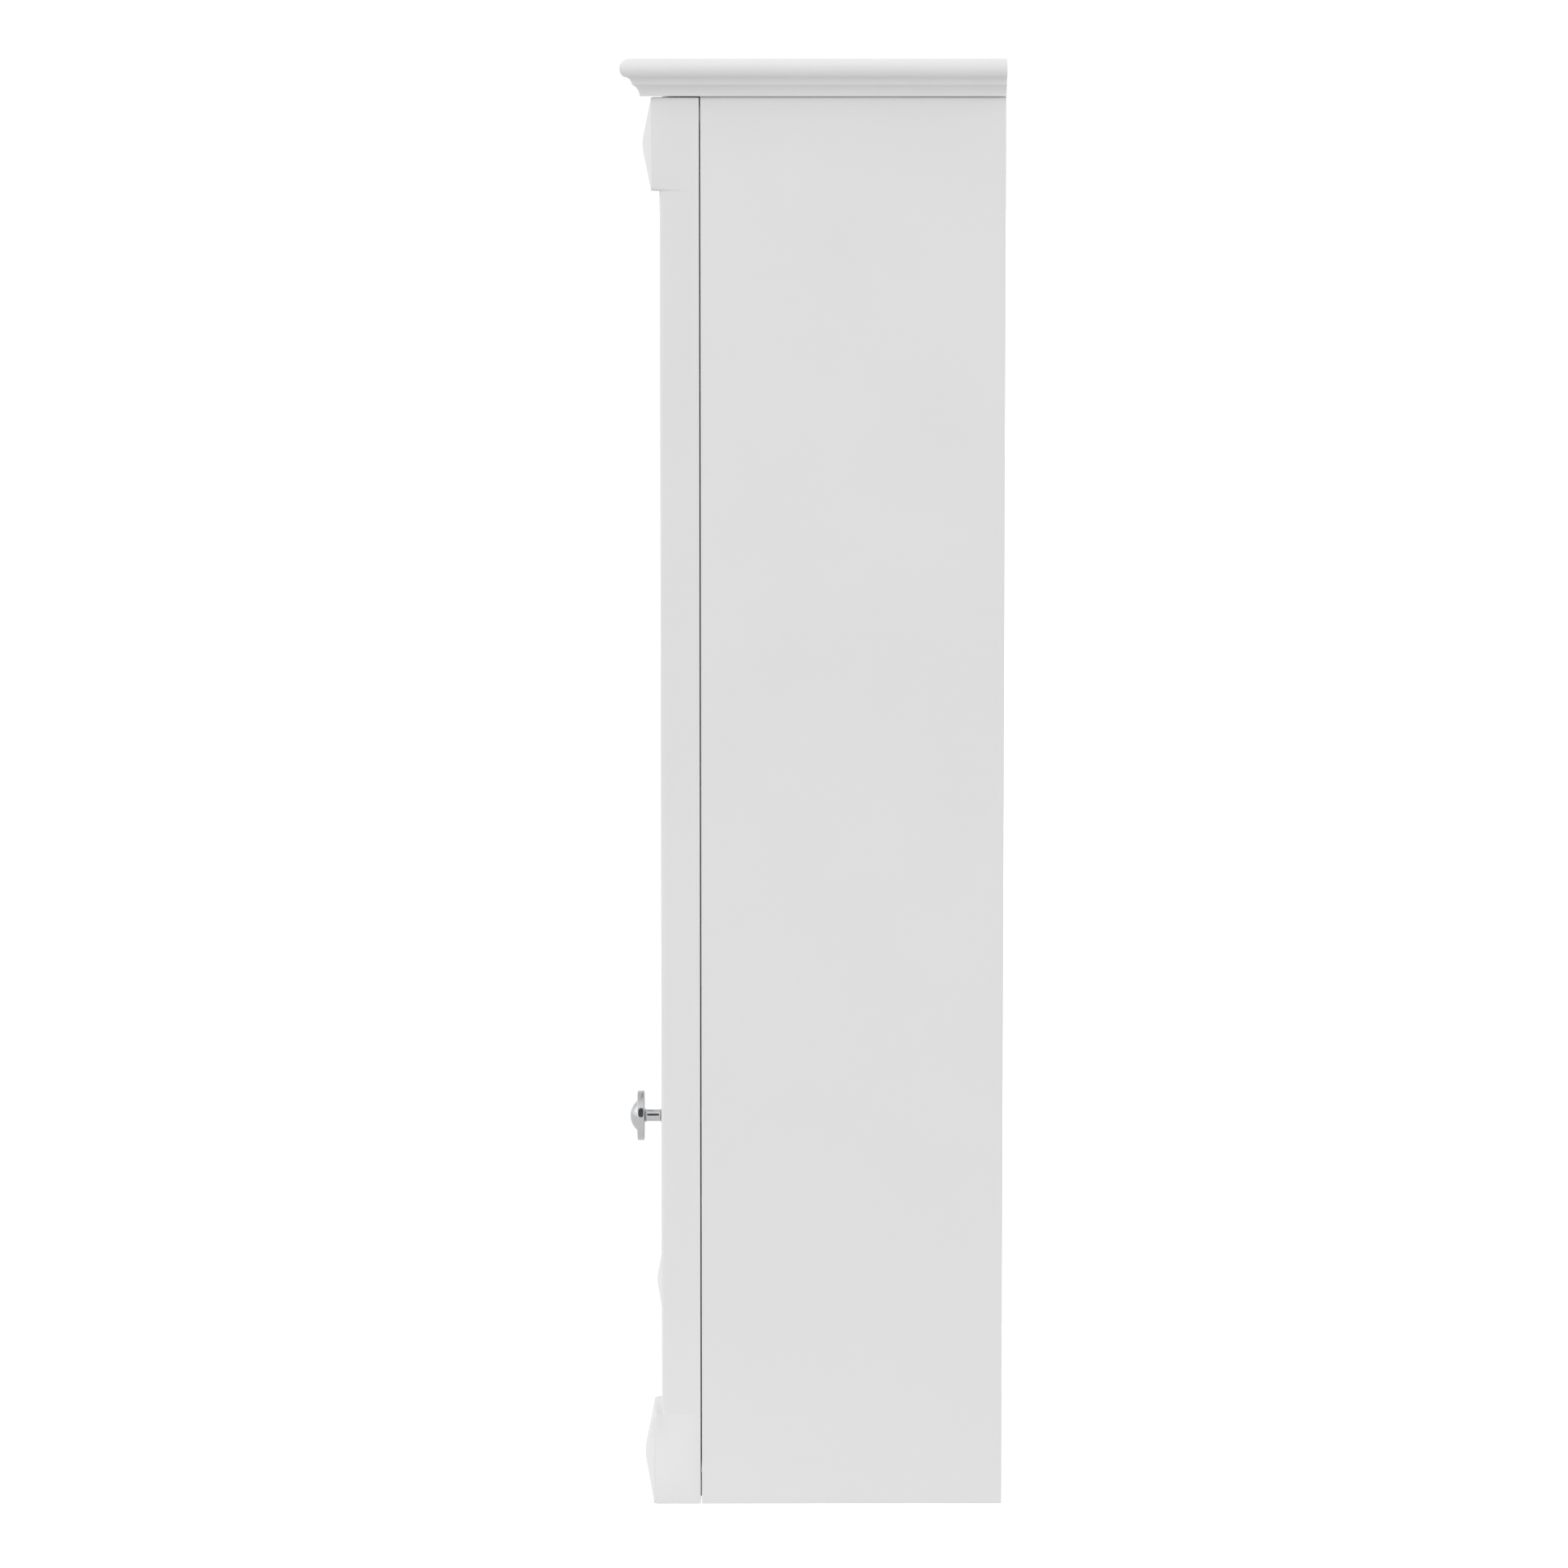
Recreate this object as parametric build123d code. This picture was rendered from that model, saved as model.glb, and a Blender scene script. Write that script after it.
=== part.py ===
from build123d import *
import math
import os

# Wall-hung apothecary cabinet with one mirrored door. Millimetres.
# +X is the right-hand side seen from the front, the front faces -Y, +Z is up.
# Origin: centre of the overall box, at the height of the cabinet's bottom face.

# Driving dimensions of the case
overall_height = 711.0
body_width = 508.0
body_depth = 148.2
panel = 15.0
back_thickness = 5.0
back_rebate = 7.5
edge_round = 1.0

# Crown board: a half-round nose above two coves, on the front and both sides
crown_width = 532.0
crown_thickness = 18.0
crown_nose_reach = 19.0
nose_radius = 4.75
nose_lower_angle = 56.0
cove_radius = 3.8
foot_cove_radius = 6.2
crown_foot_setback = 9.6

# Door
door_thickness = 19.2
door_gap = 0.6
door_top_gap = 0.6
frame_width = 45.0
block_proud = 4.0
pyramid_height = 5.0
door_edge_round = 2.0
sight_bevel = 4.0

# Mirror
glass_thickness = 4.0
glass_bevel_width = 20.0
glass_bevel_depth = 1.2
backing_thickness = 3.0
mirror_lip = 8.0
mirror_play = 1.0

# Shelves and their pins
shelf_thickness = 12.0
shelf_side_play = 1.0
shelf_front_setback = 14.5
shelf_count = 2
pin_radius = 2.5
pin_hole_depth = 10.0
pin_column_inset = 37.0
pin_pitch = 32.0
pin_tongue_length = 8.0
pin_tongue_thickness = 2.0

# Rail for the wall screws
rail_height = 60.0
wall_hole_radius = 2.75
wall_hole_spacing = 406.4
wall_hole_drop = 30.0

# Dowels
dowel_radius = 4.0
dowel_length = 30.0
dowel_shift = 5.0
glue_film = 0.05

# Butt hinges
hinge_height = 50.8
hinge_inset = 90.0
knuckle_radius = 3.0
knuckle_offset = 3.2
knuckle_count = 3
knuckle_gap = 0.2
leaf_thickness = 1.2
leaf_reach = 14.5
leaf_face_gap = 0.1
hinge_pin_radius = 1.3
hinge_pin_clearance = 0.05
finial_radius = 2.1

# Knob
knob_height = 191.0
knob_stem_radius = 3.0
knob_stem_length = 8.4
knob_disc_radius = 12.4
knob_disc_thickness = 3.6
knob_dome_radius = 7.6
knob_dome_height = 3.6
knob_flare = 1.2
knob_rim_chamfer = 0.5
knob_thread_depth = 7.0

# Magnetic catch
catch_height = 271.0
catch_depth = 15.0
catch_width = 14.0
catch_body_length = 30.0
catch_ear_length = 8.0
catch_ear_thickness = 3.0
catch_air_gap = 0.3
magnet_width = 4.8
magnet_depth = 10.0
magnet_length = 24.0
pole_thickness = 1.6
strike_thickness = 1.2
strike_width = 12.0
strike_length = 30.0

# Small fixings: shank radius, shank length, head radius, head height
crown_screw = (2.0, 25.0, 4.0, 2.6)
hinge_screw = (1.4, 13.0, 2.6, 1.2)
catch_screw = (1.4, 12.0, 2.8, 1.8)
strike_screw = (1.4, 12.0, 2.6, 1.2)
clip_screw = (1.4, 10.0, 2.8, 1.6)
knob_screw = (2.0, 26.0, 4.0, 2.4)
back_nail = (0.8, 16.0, 2.0, 0.8)
screw_play = 0.02

# Mirror clips and bumpers
clip_length = 22.0
clip_width = 14.0
clip_thickness = 1.2
clip_overlap = 5.0
bumper_radius = 6.0
bumper_thickness = 0.5
bumper_inset = 8.5

# Derived places
overall_depth = body_depth + door_gap + door_thickness + crown_nose_reach
back_y = overall_depth / 2
body_front_y = back_y - body_depth
door_back_y = body_front_y - door_gap
door_front_y = door_back_y - door_thickness
body_height = overall_height - crown_thickness
door_height = body_height - door_top_gap
side_x = body_width / 2
inner_x = side_x - panel
back_inner_y = back_y - back_thickness
top_panel_z = body_height - panel
frame_inner_x = side_x - frame_width
frame_centre_x = side_x - frame_width / 2
pocket_x = frame_inner_x + mirror_lip
pocket_low_z = frame_width - mirror_lip
pocket_high_z = door_height - frame_width + mirror_lip
pocket_y = door_back_y - glass_thickness - backing_thickness
rail_low_z = top_panel_z - rail_height
wall_hole_z = top_panel_z - wall_hole_drop
shelf_gap = (top_panel_z - panel - shelf_count * shelf_thickness) / (shelf_count + 1)
hinge_x = -side_x - knuckle_offset
hinge_y = (body_front_y + door_back_y) / 2
hinge_levels = (hinge_inset, door_height - hinge_inset)
catch_front_y = door_back_y + strike_thickness + catch_air_gap
catch_centre_x = inner_x - catch_width / 2 - 1.0
dowel_ys = (body_front_y + 34.0, back_inner_y - 34.0)
pin_ys = (body_front_y + pin_column_inset, back_inner_y - pin_column_inset)
knob_screw_place = ((frame_centre_x, door_back_y, knob_height), (0, -1, 0))

parts = {}


def keep(name, *solids):
    """Store one node as a single solid or as a group of separate solids."""
    for count, solid in enumerate(solids):
        solid.label = f"{name}_{count + 1}" if len(solids) > 1 else name
    parts[name] = solids[0] if len(solids) == 1 else Compound(label=name, children=list(solids))


def block(x, y, z):
    """A box between pairs of limits."""
    size = (x[1] - x[0], y[1] - y[0], z[1] - z[0])
    centre = ((x[0] + x[1]) / 2, (y[0] + y[1]) / 2, (z[0] + z[1]) / 2)
    return Pos(*centre) * Box(*size)


def rod(start, direction, radius, length):
    """A cylinder from a start point along a direction."""
    plane = Plane(origin=start, z_dir=direction)
    return plane * Cylinder(radius, length, align=(Align.CENTER, Align.CENTER, Align.MIN))


def screw(seat, direction, size, flush=False):
    """A screw whose shank runs from its seat along direction.

    A flush head is a countersink that narrows from the seat; otherwise the head is a low round one.
    """
    shank_radius, shank_length, head_radius, head_height = size
    plane = Plane(origin=seat, z_dir=direction)
    if flush:
        head = Cone(head_radius, shank_radius, head_height, align=(Align.CENTER, Align.CENTER, Align.MIN))
    else:
        head = Cylinder(head_radius, head_height, align=(Align.CENTER, Align.CENTER, Align.MAX))
        head = fillet(head.edges().group_by(Axis.Z)[0], head_height * 0.45)
    slot = Pos(0, 0, -head_height if not flush else 0) * (
        Box(head_radius * 1.1, 0.5, 0.8) + Box(0.5, head_radius * 1.1, 0.8)
    )
    point = Pos(0, 0, shank_length) * Cone(
        shank_radius, shank_radius * 0.3, shank_radius * 1.5, align=(Align.CENTER, Align.CENTER, Align.MAX)
    )
    straight = shank_length - shank_radius * 1.5
    shank = Cylinder(shank_radius, straight, align=(Align.CENTER, Align.CENTER, Align.MIN))
    return plane * (head + shank + point - slot)


def screw_hole(seat, direction, size, flush=False):
    """The hole that a screw of this size needs, with its countersink."""
    shank_radius, shank_length, head_radius, head_height = size
    hole = rod(seat, direction, shank_radius + screw_play, shank_length + screw_play)
    if not flush:
        return hole
    cone = Cone(
        head_radius + screw_play,
        shank_radius + screw_play,
        head_height,
        align=(Align.CENTER, Align.CENTER, Align.MIN),
    )
    return hole + Plane(origin=seat, z_dir=direction) * cone


def dowel(centre, direction):
    """A dowel with chamfered ends, centred on a joint."""
    body = Cylinder(dowel_radius, dowel_length)
    body = chamfer(body.edges(), 1.0)
    return Plane(origin=centre, z_dir=direction) * body


def dowel_hole(centre, direction):
    """The hole for one dowel, through both pieces of its joint."""
    hole = Cylinder(dowel_radius + glue_film, dowel_length + 2.0)
    return Plane(origin=centre, z_dir=direction) * hole


def closed_face(outline):
    """The face inside a closed chain of lines and arcs."""
    return make_face([edge for line in outline for edge in line.edges()])


def both_sides():
    """-1 for the left side and +1 for the right side."""
    return (("left", -1), ("right", 1))


def ordered(a, b):
    """Two limits in rising order."""
    return (min(a, b), max(a, b))


# Places of the fixings, used by the pieces that they join

def case_dowel_places():
    """A dowel sits deeper in the panel's end than in the side that it joins."""
    places = []
    for _, side in both_sides():
        x = side * (inner_x - dowel_shift)
        for z in (panel / 2, body_height - panel / 2):
            for y in dowel_ys:
                places.append(((x, y, z), (1, 0, 0)))
        places.append(((x, back_inner_y - panel / 2, wall_hole_z), (1, 0, 0)))
    return places


def door_dowel_places():
    middle_y = door_back_y - door_thickness / 2
    places = []
    for _, side in both_sides():
        for z, inward in ((frame_width, 1), (door_height - frame_width, -1)):
            for x in (frame_centre_x - 10.0, frame_centre_x + 10.0):
                places.append(((side * x, middle_y, z), (0, 0, 1)))
            for away in (19.5, 35.5):
                places.append(((side * frame_inner_x, middle_y, z - inward * away), (1, 0, 0)))
    return places


def crown_screw_places():
    return [((x, y, top_panel_z), (0, 0, 1)) for x in (-190.0, 190.0) for y in (-30.0, 55.0)]


def back_nail_places():
    edge_x = side_x - (panel + back_rebate) / 2 - 1.0
    levels = [60.0 + 95.5 * step for step in range(7)]
    places = [((side * edge_x, back_y, z), (0, -1, 0)) for side in (-1, 1) for z in levels]
    for x in (-160.0, -53.0, 53.0, 160.0):
        places.append(((x, back_y, panel / 2), (0, -1, 0)))
        places.append(((x, back_y, body_height - panel / 2), (0, -1, 0)))
    return places


def hinge_screw_places(seat_y, direction):
    x = -side_x + leaf_reach / 2 + 0.6
    steps = (-17.0, 0.0, 17.0)
    return [((x, seat_y, level + step), direction) for level in hinge_levels for step in steps]


def catch_screw_places():
    reach = catch_body_length / 2 + catch_ear_length / 2
    y = catch_front_y + catch_depth / 2
    seat_x = inner_x - catch_ear_thickness
    return [((seat_x, y, catch_height + side * reach), (1, 0, 0)) for side in (-1, 1)]


def clip_places():
    """Centre of each clip's screw and the direction in which the clip reaches over the mirror."""
    away = clip_length / 2 - clip_overlap
    places = []
    for side in (-1, 1):
        for z in (140.0, door_height / 2, door_height - 140.0):
            places.append((side * (pocket_x + away), z, -side, 0))
    for x in (-110.0, 110.0):
        places.append((x, pocket_low_z - away, 0, 1))
        places.append((x, pocket_high_z + away, 0, -1))
    return places


def cut_dowels(piece, places):
    """Bore a piece for every dowel in a list of places."""
    for centre, direction in places:
        piece -= dowel_hole(centre, direction)
    return piece


def cut_screws(piece, places, size, flush=False):
    """Drill a piece for every screw in a list of places."""
    for seat, direction in places:
        piece -= screw_hole(seat, direction, size, flush)
    return piece


# Case

def shelf_bottom(index):
    return panel + (index + 1) * shelf_gap + index * shelf_thickness


def pin_hole_levels():
    levels = []
    for index in range(shelf_count):
        for step in (-2, -1, 0, 1, 2):
            levels.append(shelf_bottom(index) - pin_radius + step * pin_pitch)
    return levels


def side_panel(side):
    outer = block(
        ordered(side * inner_x, side * side_x), (body_front_y, back_y), (0, body_height)
    )
    long_edges = outer.edges().filter_by(Axis.Z).sort_by(Axis.X)
    rounded = long_edges[2:] if side > 0 else long_edges[:2]
    piece = fillet(rounded, edge_round)
    piece -= block(
        ordered(side * inner_x, side * (inner_x + back_rebate)),
        (back_inner_y, back_y),
        (0, body_height),
    )
    for y in pin_ys:
        for z in pin_hole_levels():
            piece -= rod((side * inner_x, y, z), (side, 0, 0), pin_radius, pin_hole_depth)
    piece = cut_dowels(piece, [place for place in case_dowel_places() if place[0][0] * side > 0])
    nails = [place for place in back_nail_places() if place[0][0] * side > inner_x]
    piece = cut_screws(piece, nails, back_nail)
    if side > 0:
        return cut_screws(piece, catch_screw_places(), catch_screw)
    for level in hinge_levels:
        piece -= leaf_recess(level, body_front_y, 1)
    return cut_screws(piece, hinge_screw_places(leaf_outer_y(1), (0, 1, 0)), hinge_screw)


def end_panel(low_z, nails_z):
    """The top or the bottom panel, between the sides and in front of the back."""
    piece = block((-inner_x, inner_x), (body_front_y, back_inner_y), (low_z, low_z + panel))
    near = [place for place in case_dowel_places() if low_z < place[0][2] < low_z + panel]
    piece = cut_dowels(piece, near)
    nails = [place for place in back_nail_places() if place[0][2] == nails_z]
    return cut_screws(piece, nails, back_nail)


def back_panel():
    half = inner_x + back_rebate - 0.3
    piece = block((-half, half), (back_inner_y, back_y), (0.5, body_height - 0.5))
    for side in (-1, 1):
        hole_x = side * wall_hole_spacing / 2
        piece -= rod((hole_x, back_y, wall_hole_z), (0, -1, 0), wall_hole_radius, back_thickness)
    for seat, direction in back_nail_places():
        piece -= rod(seat, direction, back_nail[0] + screw_play, back_thickness)
        piece -= rod(seat, direction, back_nail[2] + screw_play, back_nail[3])
    return piece


def hanging_rail():
    piece = block(
        (-inner_x, inner_x), (back_inner_y - panel, back_inner_y), (rail_low_z, top_panel_z)
    )
    for side in (-1, 1):
        hole_x = side * wall_hole_spacing / 2
        piece -= rod((hole_x, back_inner_y, wall_hole_z), (0, -1, 0), wall_hole_radius, panel)
    low = [place for place in case_dowel_places() if rail_low_z < place[0][2] < top_panel_z]
    return cut_dowels(piece, low)


def nail(seat, direction):
    """A flat-headed nail sunk flush with the face that it is driven into."""
    head = rod(seat, direction, back_nail[2], back_nail[3])
    return head + rod(seat, direction, back_nail[0], back_nail[1])


def crown_outline(reach, back):
    """Section of the crown from its nose at -reach back to a flat end, as a face in X (out) and Y (up)."""
    top = overall_height
    nose_centre = (-reach + nose_radius, top - nose_radius)
    lower = math.radians(nose_lower_angle)
    nose_end = (
        nose_centre[0] - nose_radius * math.cos(lower),
        nose_centre[1] - nose_radius * math.sin(lower),
    )
    foot = (-reach + crown_foot_setback, top - crown_thickness)
    foot_centre_x = foot[0] - foot_cove_radius
    step_z = nose_end[1] - cove_radius
    step_x = foot_centre_x + math.sqrt(foot_cove_radius**2 - (step_z - foot[1]) ** 2)
    bend = math.atan2(step_z - foot[1], step_x - foot_centre_x) / 2
    outline = [
        ThreePointArc(
            (nose_centre[0], top),
            (
                nose_centre[0] - nose_radius * math.cos(0.2),
                nose_centre[1] + nose_radius * math.sin(0.2),
            ),
            nose_end,
        ),
        ThreePointArc(
            nose_end,
            (
                nose_end[0] + (step_x - nose_end[0]) * math.sin(math.pi / 4),
                step_z + cove_radius * math.cos(math.pi / 4),
            ),
            (step_x, step_z),
        ),
        ThreePointArc(
            (step_x, step_z),
            (
                foot_centre_x + foot_cove_radius * math.cos(bend),
                foot[1] + foot_cove_radius * math.sin(bend),
            ),
            foot,
        ),
        Polyline(foot, (back, foot[1]), (back, top), (nose_centre[0], top)),
    ]
    return closed_face(outline)


def crown():
    """The front prism and the two-sided prism meet in mitred corners where they intersect."""
    half = crown_width / 2
    depth_plane = Plane(origin=(-half - 1, 0, 0), x_dir=(0, 1, 0), z_dir=(1, 0, 0))
    front = extrude(depth_plane * crown_outline(overall_depth / 2, back_y), crown_width + 2)
    width_plane = Plane(origin=(0, back_y, 0), x_dir=(1, 0, 0), z_dir=(0, -1, 0))
    left = extrude(width_plane * crown_outline(half, 0.0), overall_depth)
    piece = front & (left + mirror(left, Plane.YZ))
    return cut_screws(piece, crown_screw_places(), crown_screw)


def shelf(index):
    low = shelf_bottom(index)
    half = inner_x - shelf_side_play
    front = body_front_y + shelf_front_setback
    piece = block((-half, half), (front, back_inner_y - 1.0), (low, low + shelf_thickness))
    front_edges = piece.edges().filter_by(Axis.X).group_by(Axis.Y)[0]
    return fillet(front_edges, edge_round)


def shelf_pin(side, y, bottom):
    """A pin with a collar against the panel and a flat tongue under the shelf."""
    z = bottom - pin_radius
    shaft = rod((side * inner_x, y, z), (side, 0, 0), pin_radius - screw_play, pin_hole_depth - 1.0)
    collar_x = ordered(side * inner_x, side * (inner_x - 0.8))
    collar = block(collar_x, (y - 3.5, y + 3.5), (z - 5.0, bottom))
    tongue_x = ordered(side * inner_x, side * (inner_x - pin_tongue_length))
    tongue = block(tongue_x, (y - 3.5, y + 3.5), (bottom - pin_tongue_thickness, bottom))
    return shaft + collar + tongue


# Hinges: the cabinet half has turn = 1 and the door half turn = -1

def leaf_outer_y(turn):
    """The leaf face that the screw heads sit in."""
    return hinge_y + turn * leaf_face_gap


def leaf_recess(level, face_y, turn):
    """The shallow mortise in the wood behind a leaf."""
    depth = leaf_face_gap + leaf_thickness
    limits = ordered(face_y - turn * 0.01, hinge_y + turn * depth)
    half = hinge_height / 2
    return block((-side_x - 1, -side_x + leaf_reach), limits, (level - half, level + half))


def knuckle_span(level, index):
    pitch = hinge_height / knuckle_count
    low = level - hinge_height / 2 + index * pitch
    return low + knuckle_gap / 2, low + pitch - knuckle_gap / 2


def hinge_half(level, turn):
    """One leaf with every second knuckle of the barrel."""
    half = hinge_height / 2
    limits = ordered(leaf_outer_y(turn), leaf_outer_y(turn) + turn * leaf_thickness)
    piece = block((-side_x + 0.2, -side_x + leaf_reach), limits, (level - half, level + half))
    first = 0 if turn > 0 else 1
    for index in range(first, knuckle_count, 2):
        low, high = knuckle_span(level, index)
        piece += block((hinge_x + 1.9, -side_x + 0.3), limits, (low, high))
        piece += rod((hinge_x, hinge_y, low), (0, 0, 1), knuckle_radius, high - low)
    bore = hinge_pin_radius + hinge_pin_clearance
    piece -= rod((hinge_x, hinge_y, level - half), (0, 0, 1), bore, hinge_height)
    level_screws = [
        place
        for place in hinge_screw_places(leaf_outer_y(turn), (0, turn, 0))
        if abs(place[0][2] - level) < half
    ]
    return cut_screws(piece, level_screws, hinge_screw, flush=True)


def hinge_pin(level):
    """A pin with a round finial at each end of the barrel."""
    half = hinge_height / 2
    low = level - half + knuckle_gap / 2
    high = level + half - knuckle_gap / 2
    piece = rod((hinge_x, hinge_y, low), (0, 0, 1), hinge_pin_radius, high - low)
    ball = Sphere(finial_radius) - Pos(0, 0, -finial_radius) * Box(6, 6, finial_radius * 2)
    piece += Pos(hinge_x, hinge_y, high) * ball
    piece += Pos(hinge_x, hinge_y, low) * Rot(180, 0, 0) * ball
    return piece


# Door

def mirror_pocket():
    """Rebate for the glass and its backing, open to the back of the door."""
    return block((-pocket_x, pocket_x), (pocket_y, door_back_y), (pocket_low_z, pocket_high_z))


def sight_cut():
    """Bevel around the front of the mirror's opening, mitred at its corners."""
    centre_z = door_height / 2
    wide = Rectangle(2 * (frame_inner_x + sight_bevel), door_height - 2 * (frame_width - sight_bevel))
    tight = Rectangle(2 * frame_inner_x, door_height - 2 * frame_width)
    front = Plane(origin=(0, door_front_y, centre_z), x_dir=(1, 0, 0), z_dir=(0, 1, 0))
    return loft([front * wide, front.offset(sight_bevel) * tight])


def door_member(x, z, along, outward):
    """A stile or rail: its outer front edge rounded, its inner edge rebated and bevelled."""
    piece = block(x, (door_front_y, door_back_y), z)
    front_edges = piece.edges().filter_by(along).group_by(Axis.Y)[0]
    piece = fillet(front_edges.sort_by(outward)[-1], door_edge_round)
    piece = cut_dowels(piece - mirror_pocket() - sight_cut(), door_dowel_places())
    return cut_screws(piece, clip_screw_places(), clip_screw)


def door_stile(side):
    x = ordered(side * frame_inner_x, side * side_x)
    z = (frame_width, door_height - frame_width)
    piece = door_member(x, z, Axis.Z, Axis((0, 0, 0), (side, 0, 0)))
    if side > 0:
        hole_radius = knob_screw[0] + screw_play
        piece -= rod(knob_screw_place[0], knob_screw_place[1], hole_radius, door_thickness)
        return cut_screws(piece, [strike_screw_place()], strike_screw)
    for level in hinge_levels:
        piece -= leaf_recess(level, door_back_y, -1)
    return cut_screws(piece, hinge_screw_places(leaf_outer_y(-1), (0, -1, 0)), hinge_screw)


def door_rail(is_top):
    low = door_height - frame_width if is_top else 0.0
    outward = Axis((0, 0, 0), (0, 0, 1 if is_top else -1))
    return door_member((-frame_inner_x, frame_inner_x), (low, low + frame_width), Axis.X, outward)


def corner_block(side, is_top):
    """A square block with a low pyramid on its face, thicker than the frame that it joins."""
    low = door_height - frame_width if is_top else 0.0
    x = ordered(side * frame_inner_x, side * side_x)
    face_y = door_front_y - block_proud
    piece = block(x, (face_y, door_back_y), (low, low + frame_width))
    centre = Plane(
        origin=(side * frame_centre_x, face_y, low + frame_width / 2), x_dir=(1, 0, 0), z_dir=(0, -1, 0)
    )
    tip = 0.4
    rise = pyramid_height * (1 - tip / frame_width)
    piece += loft([centre * Rectangle(frame_width, frame_width), centre.offset(rise) * Rectangle(tip, tip)])
    return cut_dowels(piece - mirror_pocket(), door_dowel_places())


def mirror_glass():
    half = pocket_x - mirror_play
    tall = pocket_high_z - pocket_low_z - 2 * mirror_play
    front_y = pocket_y
    flat_y = front_y + glass_bevel_depth
    back = block(
        (-half, half),
        (flat_y, front_y + glass_thickness),
        (pocket_low_z + mirror_play, pocket_high_z - mirror_play),
    )
    plane = Plane(origin=(0, flat_y, door_height / 2), x_dir=(1, 0, 0), z_dir=(0, -1, 0))
    wide = Rectangle(2 * half, tall)
    narrow = Rectangle(2 * (half - glass_bevel_width), tall - 2 * glass_bevel_width)
    return back + loft([plane * wide, plane.offset(glass_bevel_depth) * narrow])


def backing_board():
    half = pocket_x - mirror_play
    return block(
        (-half, half),
        (pocket_y + glass_thickness, door_back_y),
        (pocket_low_z + mirror_play, pocket_high_z - mirror_play),
    )


def clip_screw_places():
    seat_y = door_back_y + clip_thickness
    return [((x, seat_y, z), (0, -1, 0)) for x, z, _, _ in clip_places()]


def mirror_clip(x, z, reach_x, reach_z):
    """A flat clip, long towards the mirror, with rounded ends."""
    size = (clip_length, clip_width) if reach_x else (clip_width, clip_length)
    plane = Plane(origin=(x, door_back_y, z), x_dir=(1, 0, 0), z_dir=(0, 1, 0))
    shape = plane * extrude(RectangleRounded(*size, 4.0), clip_thickness)
    return cut_screws(shape, [((x, door_back_y + clip_thickness, z), (0, -1, 0))], clip_screw)


def knob():
    """Turned knob: a stem flared at both ends, a flat-rimmed disc and a low dome in front."""
    stem = knob_stem_radius
    foot = stem + knob_flare
    disc_low = knob_stem_length
    disc_high = disc_low + knob_disc_thickness
    rim = knob_disc_radius - knob_rim_chamfer
    dome = knob_dome_radius
    tip = disc_high + knob_dome_height
    curve_radius = (dome**2 + knob_dome_height**2) / (2 * knob_dome_height)
    half_turn = math.asin(dome / curve_radius) / 2
    dome_middle = (
        curve_radius * math.sin(half_turn),
        tip - curve_radius * (1 - math.cos(half_turn)),
    )
    outline = [
        Line((0, 0), (foot, 0)),
        ThreePointArc((foot, 0), (stem + 0.3 * knob_flare, 0.3 * knob_flare), (stem, knob_flare)),
        Line((stem, knob_flare), (stem, disc_low - knob_flare)),
        ThreePointArc(
            (stem, disc_low - knob_flare),
            (stem + 0.3 * knob_flare, disc_low - 0.3 * knob_flare),
            (foot, disc_low),
        ),
        Polyline(
            (foot, disc_low),
            (rim, disc_low),
            (knob_disc_radius, disc_low + knob_rim_chamfer),
            (knob_disc_radius, disc_high - knob_rim_chamfer),
            (rim, disc_high),
            (dome, disc_high),
        ),
        ThreePointArc((dome, disc_high), dome_middle, (0, tip)),
        Line((0, tip), (0, 0)),
    ]
    turned = revolve(Plane.XZ * closed_face(outline), Axis.Z)
    place = Plane(origin=(frame_centre_x, door_front_y, knob_height), z_dir=(0, -1, 0))
    hole = Cylinder(
        knob_screw[0] + screw_play, knob_thread_depth + 0.5, align=(Align.CENTER, Align.CENTER, Align.MIN)
    )
    return place * (turned - hole)


# Catch

def catch_housing():
    back = catch_front_y + catch_depth
    x = (inner_x - catch_width, inner_x)
    half = catch_body_length / 2
    piece = block(x, (catch_front_y, back), (catch_height - half, catch_height + half))
    piece = fillet(piece.edges().filter_by(Axis.Z).group_by(Axis.X)[0], 1.5)
    ear_z = half + catch_ear_length
    ear_x = (inner_x - catch_ear_thickness, inner_x)
    ear_y = (catch_front_y + 1.0, back - 1.0)
    piece += block(ear_x, ear_y, (catch_height - ear_z, catch_height + ear_z))
    piece -= magnet_pack()
    return cut_screws(piece, catch_screw_places(), catch_screw)


def magnet_pack():
    """Space of the magnet and its two pole plates, open at the front of the housing."""
    half_x = magnet_width / 2 + pole_thickness
    half_z = magnet_length / 2
    return block(
        (catch_centre_x - half_x, catch_centre_x + half_x),
        (catch_front_y, catch_front_y + magnet_depth + 1.0),
        (catch_height - half_z, catch_height + half_z),
    )


def pole_plates():
    """Two steel plates on the long sides of the magnet, level with the housing's front."""
    pack = magnet_pack().bounding_box()
    plates = []
    for low in (pack.min.X, pack.max.X - pole_thickness):
        plates.append(block((low, low + pole_thickness), (pack.min.Y, pack.max.Y), (pack.min.Z, pack.max.Z)))
    return plates


def magnet():
    """The magnet lies between the plates, just behind their front edges."""
    pack = magnet_pack().bounding_box()
    x = (pack.min.X + pole_thickness, pack.max.X - pole_thickness)
    return block(x, (pack.max.Y - magnet_depth, pack.max.Y), (pack.min.Z, pack.max.Z))


def strike_screw_place():
    return ((catch_centre_x, door_back_y + strike_thickness, catch_height), (0, -1, 0))


def strike_plate():
    plane = Plane(origin=(catch_centre_x, door_back_y, catch_height), x_dir=(1, 0, 0), z_dir=(0, 1, 0))
    shape = plane * extrude(RectangleRounded(strike_width, strike_length, 2.0), strike_thickness)
    return cut_screws(shape, [strike_screw_place()], strike_screw, flush=True)


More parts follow.
